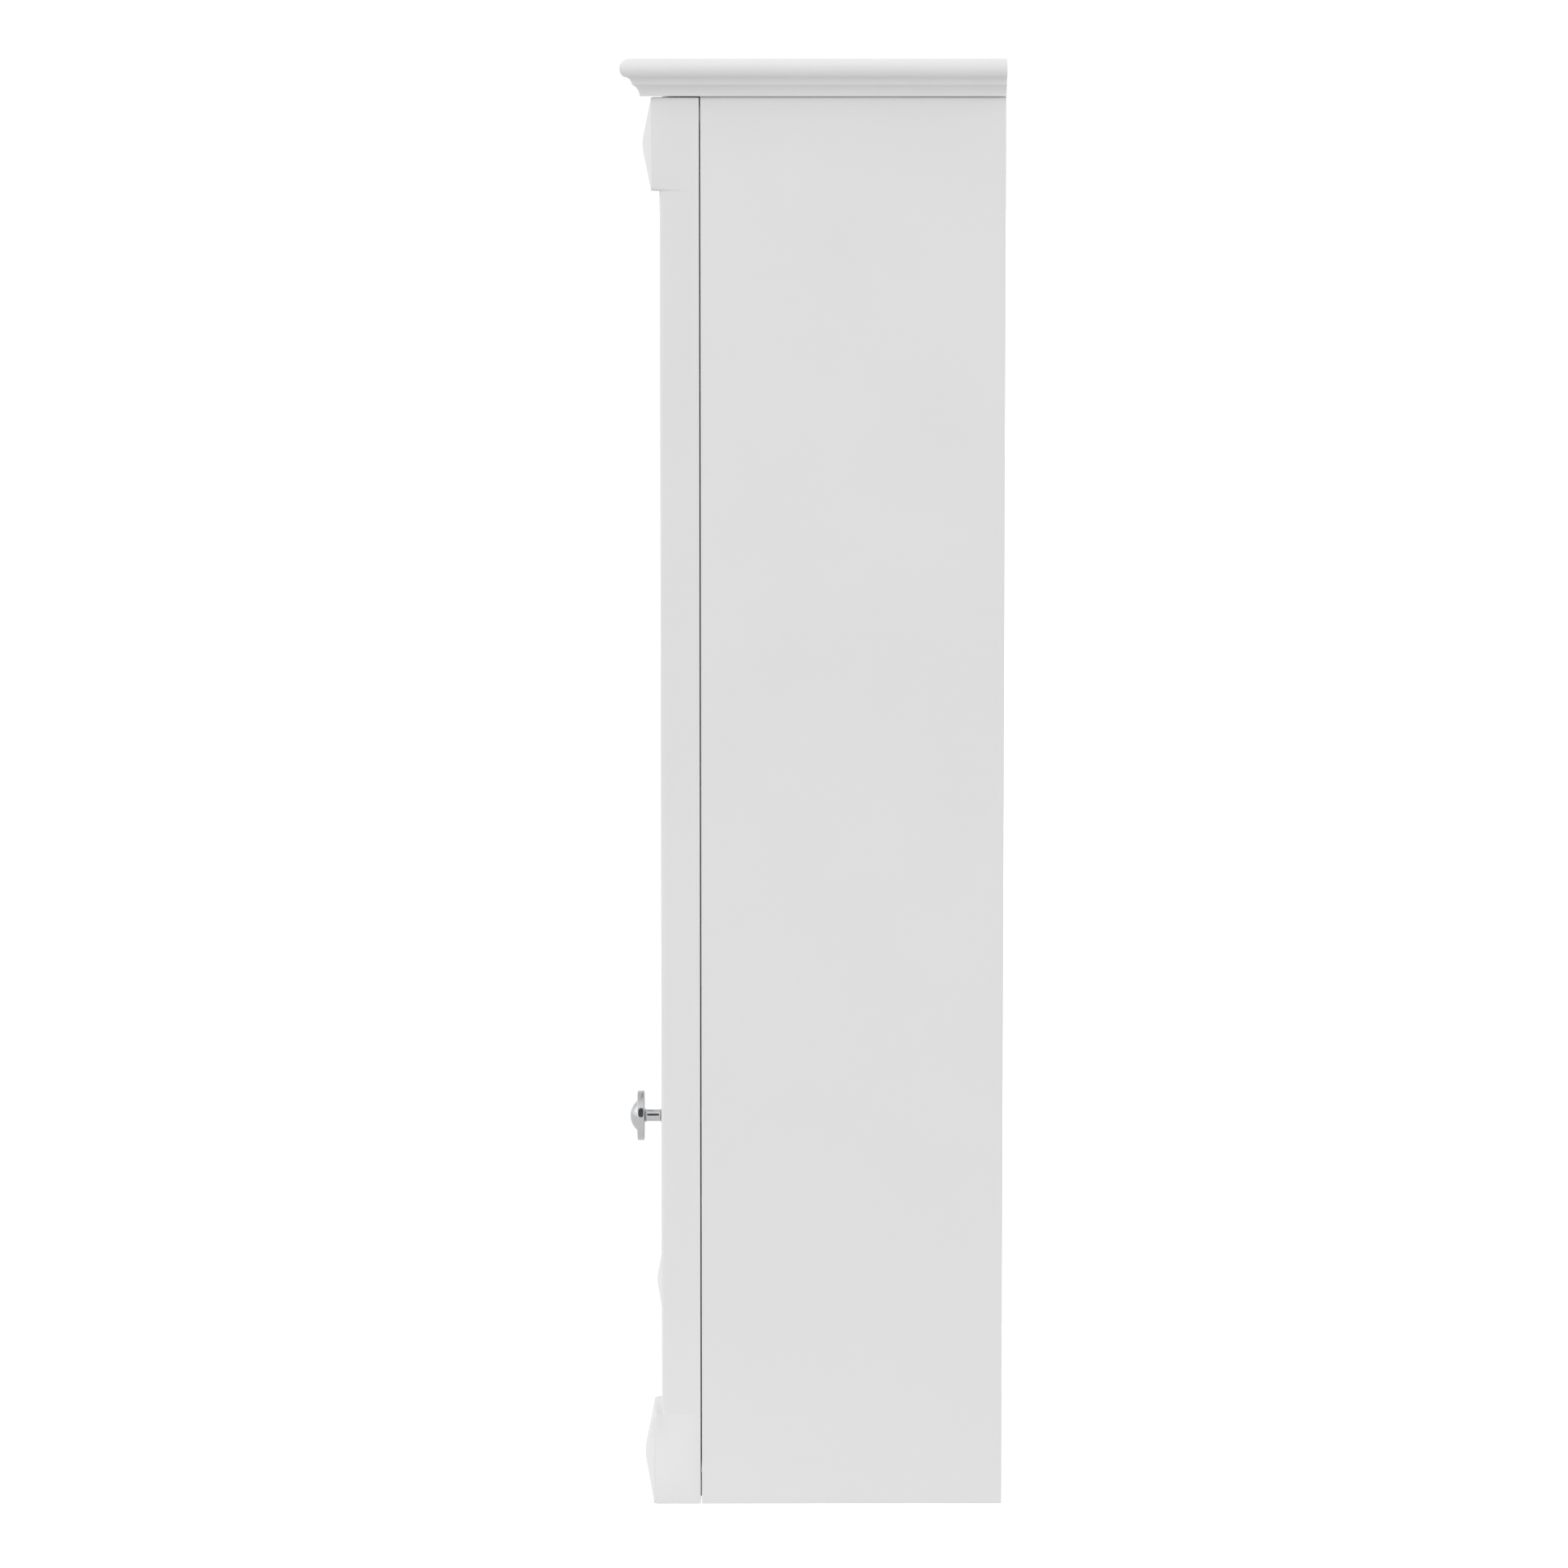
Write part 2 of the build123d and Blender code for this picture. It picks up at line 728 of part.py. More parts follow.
def bumper(z):
    disc = rod((side_x - panel / 2, door_back_y, z), (0, 1, 0), bumper_radius, bumper_thickness)
    return fillet(disc.edges().group_by(Axis.Y)[-1], 0.2)


# Assembly

for name, side in both_sides():
    keep(f"side_panel_{name}", side_panel(side))
keep("bottom_panel", end_panel(0.0, panel / 2))
top_panel = end_panel(top_panel_z, body_height - panel / 2)
keep("top_panel", cut_screws(top_panel, crown_screw_places(), crown_screw))
keep("back_panel", back_panel())
keep("hanging_rail", hanging_rail())
keep("crown", crown())
keep("crown_screws", *[screw(*place, crown_screw) for place in crown_screw_places()])
keep("case_dowels", *[dowel(*place) for place in case_dowel_places()])
keep("back_nails", *[nail(*place) for place in back_nail_places()])

for index, name in enumerate(("lower", "upper")):
    keep(f"shelf_{name}", shelf(index))
    bottom = shelf_bottom(index)
    keep(f"shelf_pins_{name}", *[shelf_pin(side, y, bottom) for side in (-1, 1) for y in pin_ys])

for name, level in zip(("bottom", "top"), hinge_levels):
    keep(f"hinge_{name}_cabinet_leaf", hinge_half(level, 1))
    keep(f"hinge_{name}_door_leaf", hinge_half(level, -1))
    keep(f"hinge_{name}_pin", hinge_pin(level))
for name, turn in (("cabinet", 1), ("door", -1)):
    places = hinge_screw_places(leaf_outer_y(turn), (0, turn, 0))
    keep(f"hinge_{name}_screws", *[screw(*place, hinge_screw, flush=True) for place in places])

for name, side in both_sides():
    keep(f"door_stile_{name}", door_stile(side))
    for level in ("bottom", "top"):
        keep(f"corner_block_{level}_{name}", corner_block(side, level == "top"))
for level in ("bottom", "top"):
    keep(f"door_rail_{level}", door_rail(level == "top"))
keep("door_dowels", *[dowel(*place) for place in door_dowel_places()])

keep("mirror_glass", mirror_glass())
keep("mirror_backing", backing_board())
keep("mirror_clips", *[mirror_clip(*place) for place in clip_places()])
keep("mirror_clip_screws", *[screw(*place, clip_screw) for place in clip_screw_places()])

keep("knob", knob())
keep("knob_screw", screw(*knob_screw_place, knob_screw))

keep("catch_housing", catch_housing())
keep("catch_magnet", magnet())
keep("catch_pole_plates", *pole_plates())
keep("catch_screws", *[screw(*place, catch_screw) for place in catch_screw_places()])
keep("strike_plate", strike_plate())
keep("strike_screw", screw(*strike_screw_place(), strike_screw, flush=True))
keep("door_bumpers", bumper(bumper_inset), bumper(door_height - bumper_inset))

os.makedirs("parts", exist_ok=True)
for name, shape in parts.items():
    export_step(shape, f"parts/{name}.step")
print(len(parts), "nodes")
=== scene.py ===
import bpy
import bmesh
import math
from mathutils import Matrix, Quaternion, Vector


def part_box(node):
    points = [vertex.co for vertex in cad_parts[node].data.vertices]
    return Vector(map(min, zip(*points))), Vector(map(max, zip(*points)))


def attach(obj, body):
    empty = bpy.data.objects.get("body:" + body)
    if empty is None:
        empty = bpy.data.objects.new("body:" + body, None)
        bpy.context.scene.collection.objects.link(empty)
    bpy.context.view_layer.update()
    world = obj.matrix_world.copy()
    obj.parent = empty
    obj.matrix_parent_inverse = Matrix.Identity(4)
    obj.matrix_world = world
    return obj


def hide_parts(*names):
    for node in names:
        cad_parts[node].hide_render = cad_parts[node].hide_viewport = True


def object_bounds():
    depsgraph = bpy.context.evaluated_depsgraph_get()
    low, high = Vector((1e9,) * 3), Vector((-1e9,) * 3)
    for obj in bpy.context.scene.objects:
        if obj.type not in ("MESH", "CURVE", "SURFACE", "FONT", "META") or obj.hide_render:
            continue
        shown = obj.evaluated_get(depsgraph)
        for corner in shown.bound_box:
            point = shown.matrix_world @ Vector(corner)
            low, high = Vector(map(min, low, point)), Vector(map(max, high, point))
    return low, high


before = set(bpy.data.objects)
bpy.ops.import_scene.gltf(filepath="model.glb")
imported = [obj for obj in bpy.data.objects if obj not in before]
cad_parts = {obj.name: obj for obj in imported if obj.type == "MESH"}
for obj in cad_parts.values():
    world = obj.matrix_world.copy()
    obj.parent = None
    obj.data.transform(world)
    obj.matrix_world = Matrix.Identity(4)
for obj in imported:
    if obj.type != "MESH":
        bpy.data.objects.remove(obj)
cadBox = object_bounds()
mm = 0.001
print("frame loaded:", len(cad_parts), "nodes")

overallLow, overallHigh = cadBox


# helpers for modelling

def clearSelection():
    if bpy.context.mode != "OBJECT":
        bpy.ops.object.mode_set(mode="OBJECT")
    bpy.ops.object.select_all(action="DESELECT")


def makeActive(piece):
    clearSelection()
    piece.select_set(True)
    bpy.context.view_layer.objects.active = piece


def applyModifier(piece, kind, **settings):
    makeActive(piece)
    modifier = piece.modifiers.new(kind.title(), kind)
    for key, value in settings.items():
        setattr(modifier, key, value)
    bpy.ops.object.modifier_apply(modifier=modifier.name)


def addBlock(name, low, high):
    clearSelection()
    bpy.ops.mesh.primitive_cube_add(size=1, location=[(a + b) / 2 for a, b in zip(low, high)])
    block = bpy.context.object
    block.name = name
    block.scale = [b - a for a, b in zip(low, high)]
    bpy.ops.object.transform_apply(location=True, rotation=True, scale=True)
    return block


def addPeg(centre, axis, radius, length, sides=32):
    turn = {"x": (0, math.pi / 2, 0), "y": (math.pi / 2, 0, 0), "z": (0, 0, 0)}[axis]
    clearSelection()
    bpy.ops.mesh.primitive_cylinder_add(
        vertices=sides, radius=radius, depth=length, location=centre, rotation=turn
    )
    bpy.ops.object.transform_apply(location=True, rotation=True, scale=True)
    return bpy.context.object


def pick(piece, kind, test):
    # opens the piece in edit mode with only the faces or edges that pass the test selected
    if bpy.context.mode == "OBJECT":
        makeActive(piece)
        bpy.ops.object.mode_set(mode="EDIT")
    bpy.ops.mesh.select_mode(type=kind)
    bpy.ops.mesh.select_all(action="DESELECT")
    net = bmesh.from_edit_mesh(piece.data)
    net.normal_update()
    found = [item for item in (net.faces if kind == "FACE" else net.edges) if test(item)]
    for item in found:
        item.select_set(True)
    bmesh.update_edit_mesh(piece.data)
    return len(found)


def bevelEdges(piece, test, width, segments):
    pick(piece, "EDGE", test)
    bpy.ops.mesh.bevel(offset=width, segments=segments, profile=0.5, affect="EDGES")
    bpy.ops.object.mode_set(mode="OBJECT")


def cutAway(piece, cutters):
    clearSelection()
    for cutter in cutters:
        cutter.select_set(True)
    bpy.context.view_layer.objects.active = cutters[0]
    if len(cutters) > 1:
        bpy.ops.object.join()
    cutter = bpy.context.view_layer.objects.active
    applyModifier(piece, "BOOLEAN", operation="DIFFERENCE", object=cutter, solver="EXACT")
    bpy.data.objects.remove(cutter)


def middle(edge):
    return (edge.verts[0].co + edge.verts[1].co) / 2


def runsAlong(edge, axis):
    along = (edge.verts[0].co - edge.verts[1].co).normalized()
    return abs(along[axis]) > 0.999


def near(a, b):
    return abs(a - b) < 0.02 * mm


def finishPiece(piece, body, nodes, material, smoothAngle=32):
    makeActive(piece)
    bpy.ops.object.shade_smooth_by_angle(angle=math.radians(smoothAngle))
    piece.data.materials.clear()
    piece.data.materials.append(material)
    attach(piece, body)
    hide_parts(*nodes)


# helpers for materials

def linear(hexCode):
    # sRGB hex to linear colour with alpha
    parts = [int(hexCode[i:i + 2], 16) / 255 for i in (1, 3, 5)]
    return [c / 12.92 if c <= 0.04045 else ((c + 0.055) / 1.055) ** 2.4 for c in parts] + [1]


def perMetre(sizeMm):
    return 1000 / sizeMm


def startMaterial(name):
    material = bpy.data.materials.new(name)
    material.use_nodes = True
    return material, material.node_tree, material.node_tree.nodes["Principled BSDF"]


def addNode(tree, kind, values=None, links=None, stops=None, **settings):
    # values set inputs, links feed them, stops fill a colour ramp and settings belong to the node
    node = tree.nodes.new(kind)
    for key, value in settings.items():
        setattr(node, key, value)
    for key, value in (values or {}).items():
        node.inputs[key].default_value = value
    for key, source in (links or {}).items():
        tree.links.new(source, node.inputs[key])
    for index, (place, colour) in enumerate(stops or []):
        elements = node.color_ramp.elements
        element = elements[index] if index < len(elements) else elements.new(place)
        element.position = place
        element.color = linear(colour)
    return node


# materials

paintValues = {
    "light": "#F0F0F0",
    "dark": "#EEEEEE",
    "roughness": (0.36, 0.46),
    "orangePeelMm": 1.8,
    "waveMm": 38,
    "clotMm": 90,
    "waveBump": (0.1, 0.4 * mm),
    "peelBump": (0.35, 0.02 * mm),
}


def makePaintedMdf():
    # sprayed satin lacquer on MDF: even off-white, a faint orange peel and slow unevenness
    v = paintValues
    material, tree, shader = startMaterial("satinLacquerOnMdf")
    place = addNode(tree, "ShaderNodeTexCoord").outputs["Object"]
    clots = addNode(
        tree, "ShaderNodeTexNoise", {"Scale": perMetre(v["clotMm"]), "Detail": 3}, {"Vector": place}
    ).outputs["Fac"]
    stops = [(0.3, v["dark"]), (0.7, v["light"])]
    colour = addNode(tree, "ShaderNodeValToRGB", None, {"Fac": clots}, stops).outputs["Color"]
    peel = addNode(
        tree,
        "ShaderNodeTexNoise",
        {"Scale": perMetre(v["orangePeelMm"]), "Detail": 2},
        {"Vector": place},
    ).outputs["Fac"]
    wave = addNode(
        tree, "ShaderNodeTexNoise", {"Scale": perMetre(v["waveMm"]), "Detail": 1}, {"Vector": place}
    ).outputs["Fac"]
    gloss = addNode(
        tree,
        "ShaderNodeMapRange",
        {"To Min": v["roughness"][0], "To Max": v["roughness"][1]},
        {"Value": wave},
    ).outputs["Result"]
    strength, depth = v["waveBump"]
    slow = addNode(
        tree, "ShaderNodeBump", {"Strength": strength, "Distance": depth}, {"Height": wave}
    ).outputs["Normal"]
    strength, depth = v["peelBump"]
    fine = addNode(
        tree,
        "ShaderNodeBump",
        {"Strength": strength, "Distance": depth},
        {"Height": peel, "Normal": slow},
    ).outputs["Normal"]
    tree.links.new(colour, shader.inputs["Base Color"])
    tree.links.new(gloss, shader.inputs["Roughness"])
    tree.links.new(fine, shader.inputs["Normal"])
    shader.inputs["IOR"].default_value = 1.5
    return material


hardboardValues = {
    "fibres": ("#5B3D24", "#7D5A38", "#94704A"),
    "fibreMm": 2.2,
    "driftMm": 40,
    "driftShare": 0.02,
    "roughness": 0.72,
    "bump": (0.4, 0.08 * mm),
    "foilThickness": 0.3 * mm,
    "foilRoughness": 0.4,
}


def fibreColour(tree, place, v):
    drift = addNode(
        tree,
        "ShaderNodeTexNoise",
        {"Scale": perMetre(v["driftMm"]), "Detail": 4},
        {"Vector": place},
    ).outputs["Color"]
    bent = addNode(
        tree,
        "ShaderNodeMix",
        {0: v["driftShare"]},
        {6: place, 7: drift},
        data_type="RGBA",
        blend_type="ADD",
    ).outputs[2]
    fibres = addNode(
        tree,
        "ShaderNodeTexNoise",
        {"Scale": perMetre(v["fibreMm"]), "Detail": 6, "Roughness": 0.75, "Distortion": 1.2},
        {"Vector": bent},
    ).outputs["Fac"]
    low, mid, high = v["fibres"]
    stops = [(0.3, low), (0.5, mid), (0.72, high)]
    colour = addNode(tree, "ShaderNodeValToRGB", None, {"Fac": fibres}, stops).outputs["Color"]
    return fibres, colour


def makeHardboard():
    # pressed hardboard, smooth side out: matted brown fibres with a dull sheen
    v = hardboardValues
    material, tree, shader = startMaterial("hardboard")
    place = addNode(tree, "ShaderNodeTexCoord").outputs["Object"]
    fibres, colour = fibreColour(tree, place, v)
    strength, depth = v["bump"]
    bump = addNode(
        tree, "ShaderNodeBump", {"Strength": strength, "Distance": depth}, {"Height": fibres}
    ).outputs["Normal"]
    tree.links.new(colour, shader.inputs["Base Color"])
    tree.links.new(bump, shader.inputs["Normal"])
    shader.inputs["Roughness"].default_value = v["roughness"]
    return material


chromeValues = {
    "colour": "#C6C7C8",
    "roughness": (0.03, 0.08),
    "rippleMm": 2.2,
    "bump": (0.3, 0.06 * mm),
}


def makeChrome():
    # chrome plate over a cast zinc knob: bright and clear, with the casting's faint ripple
    v = chromeValues
    material, tree, shader = startMaterial("chromePlateOnZinc")
    place = addNode(tree, "ShaderNodeTexCoord").outputs["Object"]
    ripple = addNode(
        tree,
        "ShaderNodeTexNoise",
        {"Scale": perMetre(v["rippleMm"]), "Detail": 3},
        {"Vector": place},
    ).outputs["Fac"]
    gloss = addNode(
        tree,
        "ShaderNodeMapRange",
        {"To Min": v["roughness"][0], "To Max": v["roughness"][1]},
        {"Value": ripple},
    ).outputs["Result"]
    strength, depth = v["bump"]
    bump = addNode(
        tree, "ShaderNodeBump", {"Strength": strength, "Distance": depth}, {"Height": ripple}
    ).outputs["Normal"]
    tree.links.new(gloss, shader.inputs["Roughness"])
    tree.links.new(bump, shader.inputs["Normal"])
    shader.inputs["Base Color"].default_value = linear(v["colour"])
    shader.inputs["Metallic"].default_value = 1
    return material


mirrorValues = {
    "colour": "#E6EBE9",
    "roughness": (0.004, 0.03),
    "smearMm": 70,
    "smearBand": (0.45, 0.8),
    "wipeTurn": math.radians(24),
}


def makeMirror():
    # silvered float glass: clear reflection, with wiping smears that only show as a change of gloss
    v = mirrorValues
    material, tree, shader = startMaterial("silveredGlass")
    place = addNode(tree, "ShaderNodeTexCoord").outputs["Object"]
    wiped = addNode(
        tree,
        "ShaderNodeMapping",
        {"Rotation": (0, v["wipeTurn"], 0), "Scale": (1, 1, 3)},
        {"Vector": place},
    ).outputs["Vector"]
    smears = addNode(
        tree,
        "ShaderNodeTexNoise",
        {"Scale": perMetre(v["smearMm"]), "Detail": 5},
        {"Vector": wiped},
    ).outputs["Fac"]
    gloss = addNode(
        tree,
        "ShaderNodeMapRange",
        {
            "From Min": v["smearBand"][0],
            "From Max": v["smearBand"][1],
            "To Min": v["roughness"][0],
            "To Max": v["roughness"][1],
        },
        {"Value": smears},
    ).outputs["Result"]
    tree.links.new(gloss, shader.inputs["Roughness"])
    shader.inputs["Base Color"].default_value = linear(v["colour"])
    shader.inputs["Metallic"].default_value = 1
    return material


platingValues = {
    "zincPlatedSteel": {
        "colours": ("#B8BCC0", "#C4C8CB"),
        "roughness": (0.26, 0.36),
        "grainMm": 0.7,
    },
    "nickelPlatedSteel": {
        "colours": ("#C3BEB4", "#C9C4BA"),
        "roughness": (0.2, 0.28),
        "grainMm": 0.4,
    },
}
platingBump = (0.25, 0.02 * mm)
rollingStretch = (1, 1, 0.12)


def makePlating(name):
    # thin plating on pressed steel: small crystals and rolling marks that break the gloss
    v = platingValues[name]
    material, tree, shader = startMaterial(name)
    place = addNode(tree, "ShaderNodeTexCoord").outputs["Object"]
    drawn = addNode(
        tree, "ShaderNodeMapping", {"Scale": rollingStretch}, {"Vector": place}
    ).outputs["Vector"]
    grain = addNode(
        tree,
        "ShaderNodeTexNoise",
        {"Scale": perMetre(v["grainMm"]), "Detail": 4},
        {"Vector": drawn},
    ).outputs["Fac"]
    gloss = addNode(
        tree,
        "ShaderNodeMapRange",
        {"To Min": v["roughness"][0], "To Max": v["roughness"][1]},
        {"Value": grain},
    ).outputs["Result"]
    strength, depth = platingBump
    bump = addNode(
        tree, "ShaderNodeBump", {"Strength": strength, "Distance": depth}, {"Height": grain}
    ).outputs["Normal"]
    stops = [(0.35, v["colours"][0]), (0.65, v["colours"][1])]
    colour = addNode(tree, "ShaderNodeValToRGB", None, {"Fac": grain}, stops).outputs["Color"]
    tree.links.new(colour, shader.inputs["Base Color"])
    tree.links.new(gloss, shader.inputs["Roughness"])
    tree.links.new(bump, shader.inputs["Normal"])
    shader.inputs["Metallic"].default_value = 1
    return material


mouldedValues = {
    "whiteAbs": {"colours": ("#ECECE8", "#F3F3F0"), "roughness": 0.42, "grainMm": 0.35},
    "ferrite": {"colours": ("#161617", "#2B2B2D"), "roughness": 0.62, "grainMm": 0.5},
    "clearPolyurethane": {"colours": ("#E9EDED", "#F4F6F6"), "roughness": 0.24, "grainMm": 0.6},
    "beech": {"colours": ("#B98F5F", "#D9B988"), "roughness": 0.55, "grainMm": 0.8},
}
mouldedBump = (0.3, 0.03 * mm)


def makeMoulded(name):
    # small parts with a fine grain: eroded ABS, sintered ferrite, cast polyurethane, turned beech
    v = mouldedValues[name]
    material, tree, shader = startMaterial(name)
    place = addNode(tree, "ShaderNodeTexCoord").outputs["Object"]
    grain = addNode(
        tree,
        "ShaderNodeTexNoise",
        {"Scale": perMetre(v["grainMm"]), "Detail": 3},
        {"Vector": place},
    ).outputs["Fac"]
    stops = [(0.35, v["colours"][0]), (0.65, v["colours"][1])]
    colour = addNode(tree, "ShaderNodeValToRGB", None, {"Fac": grain}, stops).outputs["Color"]
    strength, depth = mouldedBump
    bump = addNode(
        tree, "ShaderNodeBump", {"Strength": strength, "Distance": depth}, {"Height": grain}
    ).outputs["Normal"]
    tree.links.new(colour, shader.inputs["Base Color"])
    tree.links.new(bump, shader.inputs["Normal"])
    shader.inputs["Roughness"].default_value = v["roughness"]
    if name == "clearPolyurethane":
        shader.inputs["Transmission Weight"].default_value = 0.6
        shader.inputs["IOR"].default_value = 1.5
    return material


def makeBackBoard():
    # the same hardboard, with white foil on the face towards the shelves
    v = hardboardValues
    material, tree, shader = startMaterial("foiledHardboard")
    place = addNode(tree, "ShaderNodeTexCoord").outputs["Object"]
    inward = addNode(tree, "ShaderNodeSeparateXYZ", links={"Vector": place}).outputs["Y"]
    isRaw = addNode(
        tree,
        "ShaderNodeMath",
        {1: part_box("back_panel")[0].y + v["foilThickness"]},
        {0: inward},
        operation="GREATER_THAN",
    ).outputs["Value"]
    fibres, colour = fibreColour(tree, place, v)
    mixed = addNode(
        tree,
        "ShaderNodeMix",
        {6: linear(paintValues["light"])},
        {0: isRaw, 7: colour},
        data_type="RGBA",
    ).outputs[2]
    gloss = addNode(
        tree,
        "ShaderNodeMapRange",
        {"To Min": v["foilRoughness"], "To Max": v["roughness"]},
        {"Value": isRaw},
    ).outputs["Result"]
    relief = addNode(
        tree, "ShaderNodeMath", links={0: fibres, 1: isRaw}, operation="MULTIPLY"
    ).outputs["Value"]
    strength, depth = v["bump"]
    bump = addNode(
        tree, "ShaderNodeBump", {"Strength": strength, "Distance": depth}, {"Height": relief}
    ).outputs["Normal"]
    tree.links.new(mixed, shader.inputs["Base Color"])
    tree.links.new(gloss, shader.inputs["Roughness"])
    tree.links.new(bump, shader.inputs["Normal"])
    return material


paint = makePaintedMdf()
print("materials: lacquer ready")


# case boards

caseValues = {
    "outerRound": 0.5 * mm,
    "topRound": 1.0 * mm,
    "shadowLine": (0.45 * mm, 1.8 * mm),
    "arris": 0.4 * mm,
    "shelfArris": 0.8 * mm,
    "segments": 4,
    "rebatePlay": 0.3 * mm,
    "recessDepth": 1.3 * mm,
}


pinValues = {
    "radius": 2.5 * mm,
    "depth": 10 * mm,
    "pitch": 32 * mm,
    "halfWidth": 3.5 * mm,
    "holeSteps": (-2, -1, 0, 1, 2),
}


def hingeRecess(level, half):
    low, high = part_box(f"hinge_{level}_{half}_leaf")
    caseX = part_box("side_panel_left")[0].x
    hingeY = (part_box("side_panel_left")[0].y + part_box("door_stile_left")[1].y) / 2
    depth = caseValues["recessDepth"]
    ys = (hingeY, hingeY + depth) if half == "cabinet" else (hingeY - depth, hingeY)
    return addBlock("recess", (caseX - 2 * mm, ys[0], low.z), (high.x, ys[1], high.z))


def sidePanel(side, name):
    node = "side_panel_" + name
    low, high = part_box(node)
    outerX = high.x if side > 0 else low.x
    innerX = low.x if side > 0 else high.x
    panel = addBlock("sidePanel" + name.title(), low, high)
    # a fine shadow line under the crown
    lineHeight, lineDepth = caseValues["shadowLine"]
    topZ = high.z - lineHeight
    xs = sorted((outerX + side * mm, outerX - side * lineDepth))
    line = addBlock("shadowLine", (xs[0], low.y - mm, topZ), (xs[1], high.y + mm, high.z + mm))
    cutAway(panel, [line])
    bevelEdges(
        panel,
        lambda e: near(middle(e).x, outerX) and not near(middle(e).z, topZ),
        caseValues["outerRound"],
        caseValues["segments"],
    )
    bevelEdges(
        panel,
        lambda e: near(middle(e).x, outerX) and near(middle(e).z, topZ),
        caseValues["topRound"],
        caseValues["segments"],
    )
    # the front inner edge is sanded, the others are hidden in their joints
    bevelEdges(
        panel,
        lambda e: near(middle(e).x, innerX) and near(middle(e).y, low.y) and runsAlong(e, 2),
        caseValues["arris"],
        2,
    )
    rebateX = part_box("back_panel")[1].x if side > 0 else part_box("back_panel")[0].x
    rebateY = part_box("back_panel")[0].y
    xs = sorted((innerX - side * mm, rebateX + side * caseValues["rebatePlay"]))
    cutters = [addBlock("rebate", (xs[0], rebateY, low.z - mm), (xs[1], high.y + mm, high.z + mm))]
    for shelf in ("lower", "upper"):
        pinLow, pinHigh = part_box("shelf_pins_" + shelf)
        seatZ = pinHigh.z - pinValues["radius"]
        for step in pinValues["holeSteps"]:
            for y in (pinLow.y + pinValues["halfWidth"], pinHigh.y - pinValues["halfWidth"]):
                centre = (innerX, y, seatZ + step * pinValues["pitch"])
                cutters.append(addPeg(centre, "x", pinValues["radius"], 2 * pinValues["depth"]))
    cutAway(panel, cutters)
    if side < 0:
        cutAway(panel, [hingeRecess(level, "cabinet") for level in ("bottom", "top")])
    finishPiece(panel, "cabinet", [node], paint)


def board(node, title, body, exposed, width, cutters=()):
    low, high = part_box(node)
    piece = addBlock(title, low, high)
    bevelEdges(piece, lambda e: exposed(middle(e), e, low, high), width, 3)
    if cutters:
        cutAway(piece, list(cutters))
    finishPiece(piece, body, [node], paint)


def frontLongEdges(place, edge, low, high):
    return runsAlong(edge, 0) and near(place.y, low.y)


def shelfEdges(place, edge, low, high):
    return runsAlong(edge, 0) or near(place.x, low.x) or near(place.x, high.x)


wallHoleValues = {"radius": 2.75 * mm, "spacing": 406.4 * mm, "length": 60 * mm}


def wallHoles():
    low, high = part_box("hanging_rail")
    pegs = []
    for side in (-1, 1):
        centre = (side * wallHoleValues["spacing"] / 2, high.y, (low.z + high.z) / 2)
        pegs.append(addPeg(centre, "y", wallHoleValues["radius"], wallHoleValues["length"]))
    return pegs


sidePanel(-1, "left")
sidePanel(1, "right")
board("bottom_panel", "bottomPanel", "cabinet", frontLongEdges, caseValues["arris"])
board("top_panel", "topPanel", "cabinet", frontLongEdges, caseValues["arris"])
board("hanging_rail", "hangingRail", "cabinet", frontLongEdges, caseValues["arris"], wallHoles())
board("shelf_lower", "shelfLower", "cabinet", shelfEdges, caseValues["shelfArris"])
board("shelf_upper", "shelfUpper", "cabinet", shelfEdges, caseValues["shelfArris"])
print("case boards modelled")


# crown

crownValues = {
    "noseRadius": 4.75 * mm,
    "noseLowerAngle": 56,
    "coveRadius": 3.8 * mm,
    "footCoveRadius": 6.2 * mm,
    "footSetback": 9.6 * mm,
    "arris": 0.3 * mm,
    "sharpDegrees": 34,
    "stepsPerCurve": 10,
}


def arcPoints(centre, radius, startDegrees, endDegrees, steps):
    points = []
    for step in range(steps + 1):
        angle = math.radians(startDegrees + (endDegrees - startDegrees) * step / steps)
        points.append((centre[0] + radius * math.cos(angle), centre[1] + radius * math.sin(angle)))
    return points


def crownOutline(thickness):
    # setback from the nose and height above the crown's underside, from the foot up to the flat top
    v = crownValues
    steps = v["stepsPerCurve"]
    nose = (v["noseRadius"], thickness - v["noseRadius"])
    lower = math.radians(v["noseLowerAngle"])
    coveCentre = (
        nose[0] - v["noseRadius"] * math.cos(lower),
        nose[1] - v["noseRadius"] * math.sin(lower) - v["coveRadius"],
    )
    footCentre = (v["footSetback"] - v["footCoveRadius"], 0)
    stepAngle = math.degrees(math.asin(coveCentre[1] / v["footCoveRadius"]))
    outline = arcPoints(footCentre, v["footCoveRadius"], 0, stepAngle, steps)
    outline += arcPoints(coveCentre, v["coveRadius"], 0, 90, steps)
    outline += arcPoints(nose, v["noseRadius"], 180 + v["noseLowerAngle"], 90, 2 * steps)[1:]
    return outline


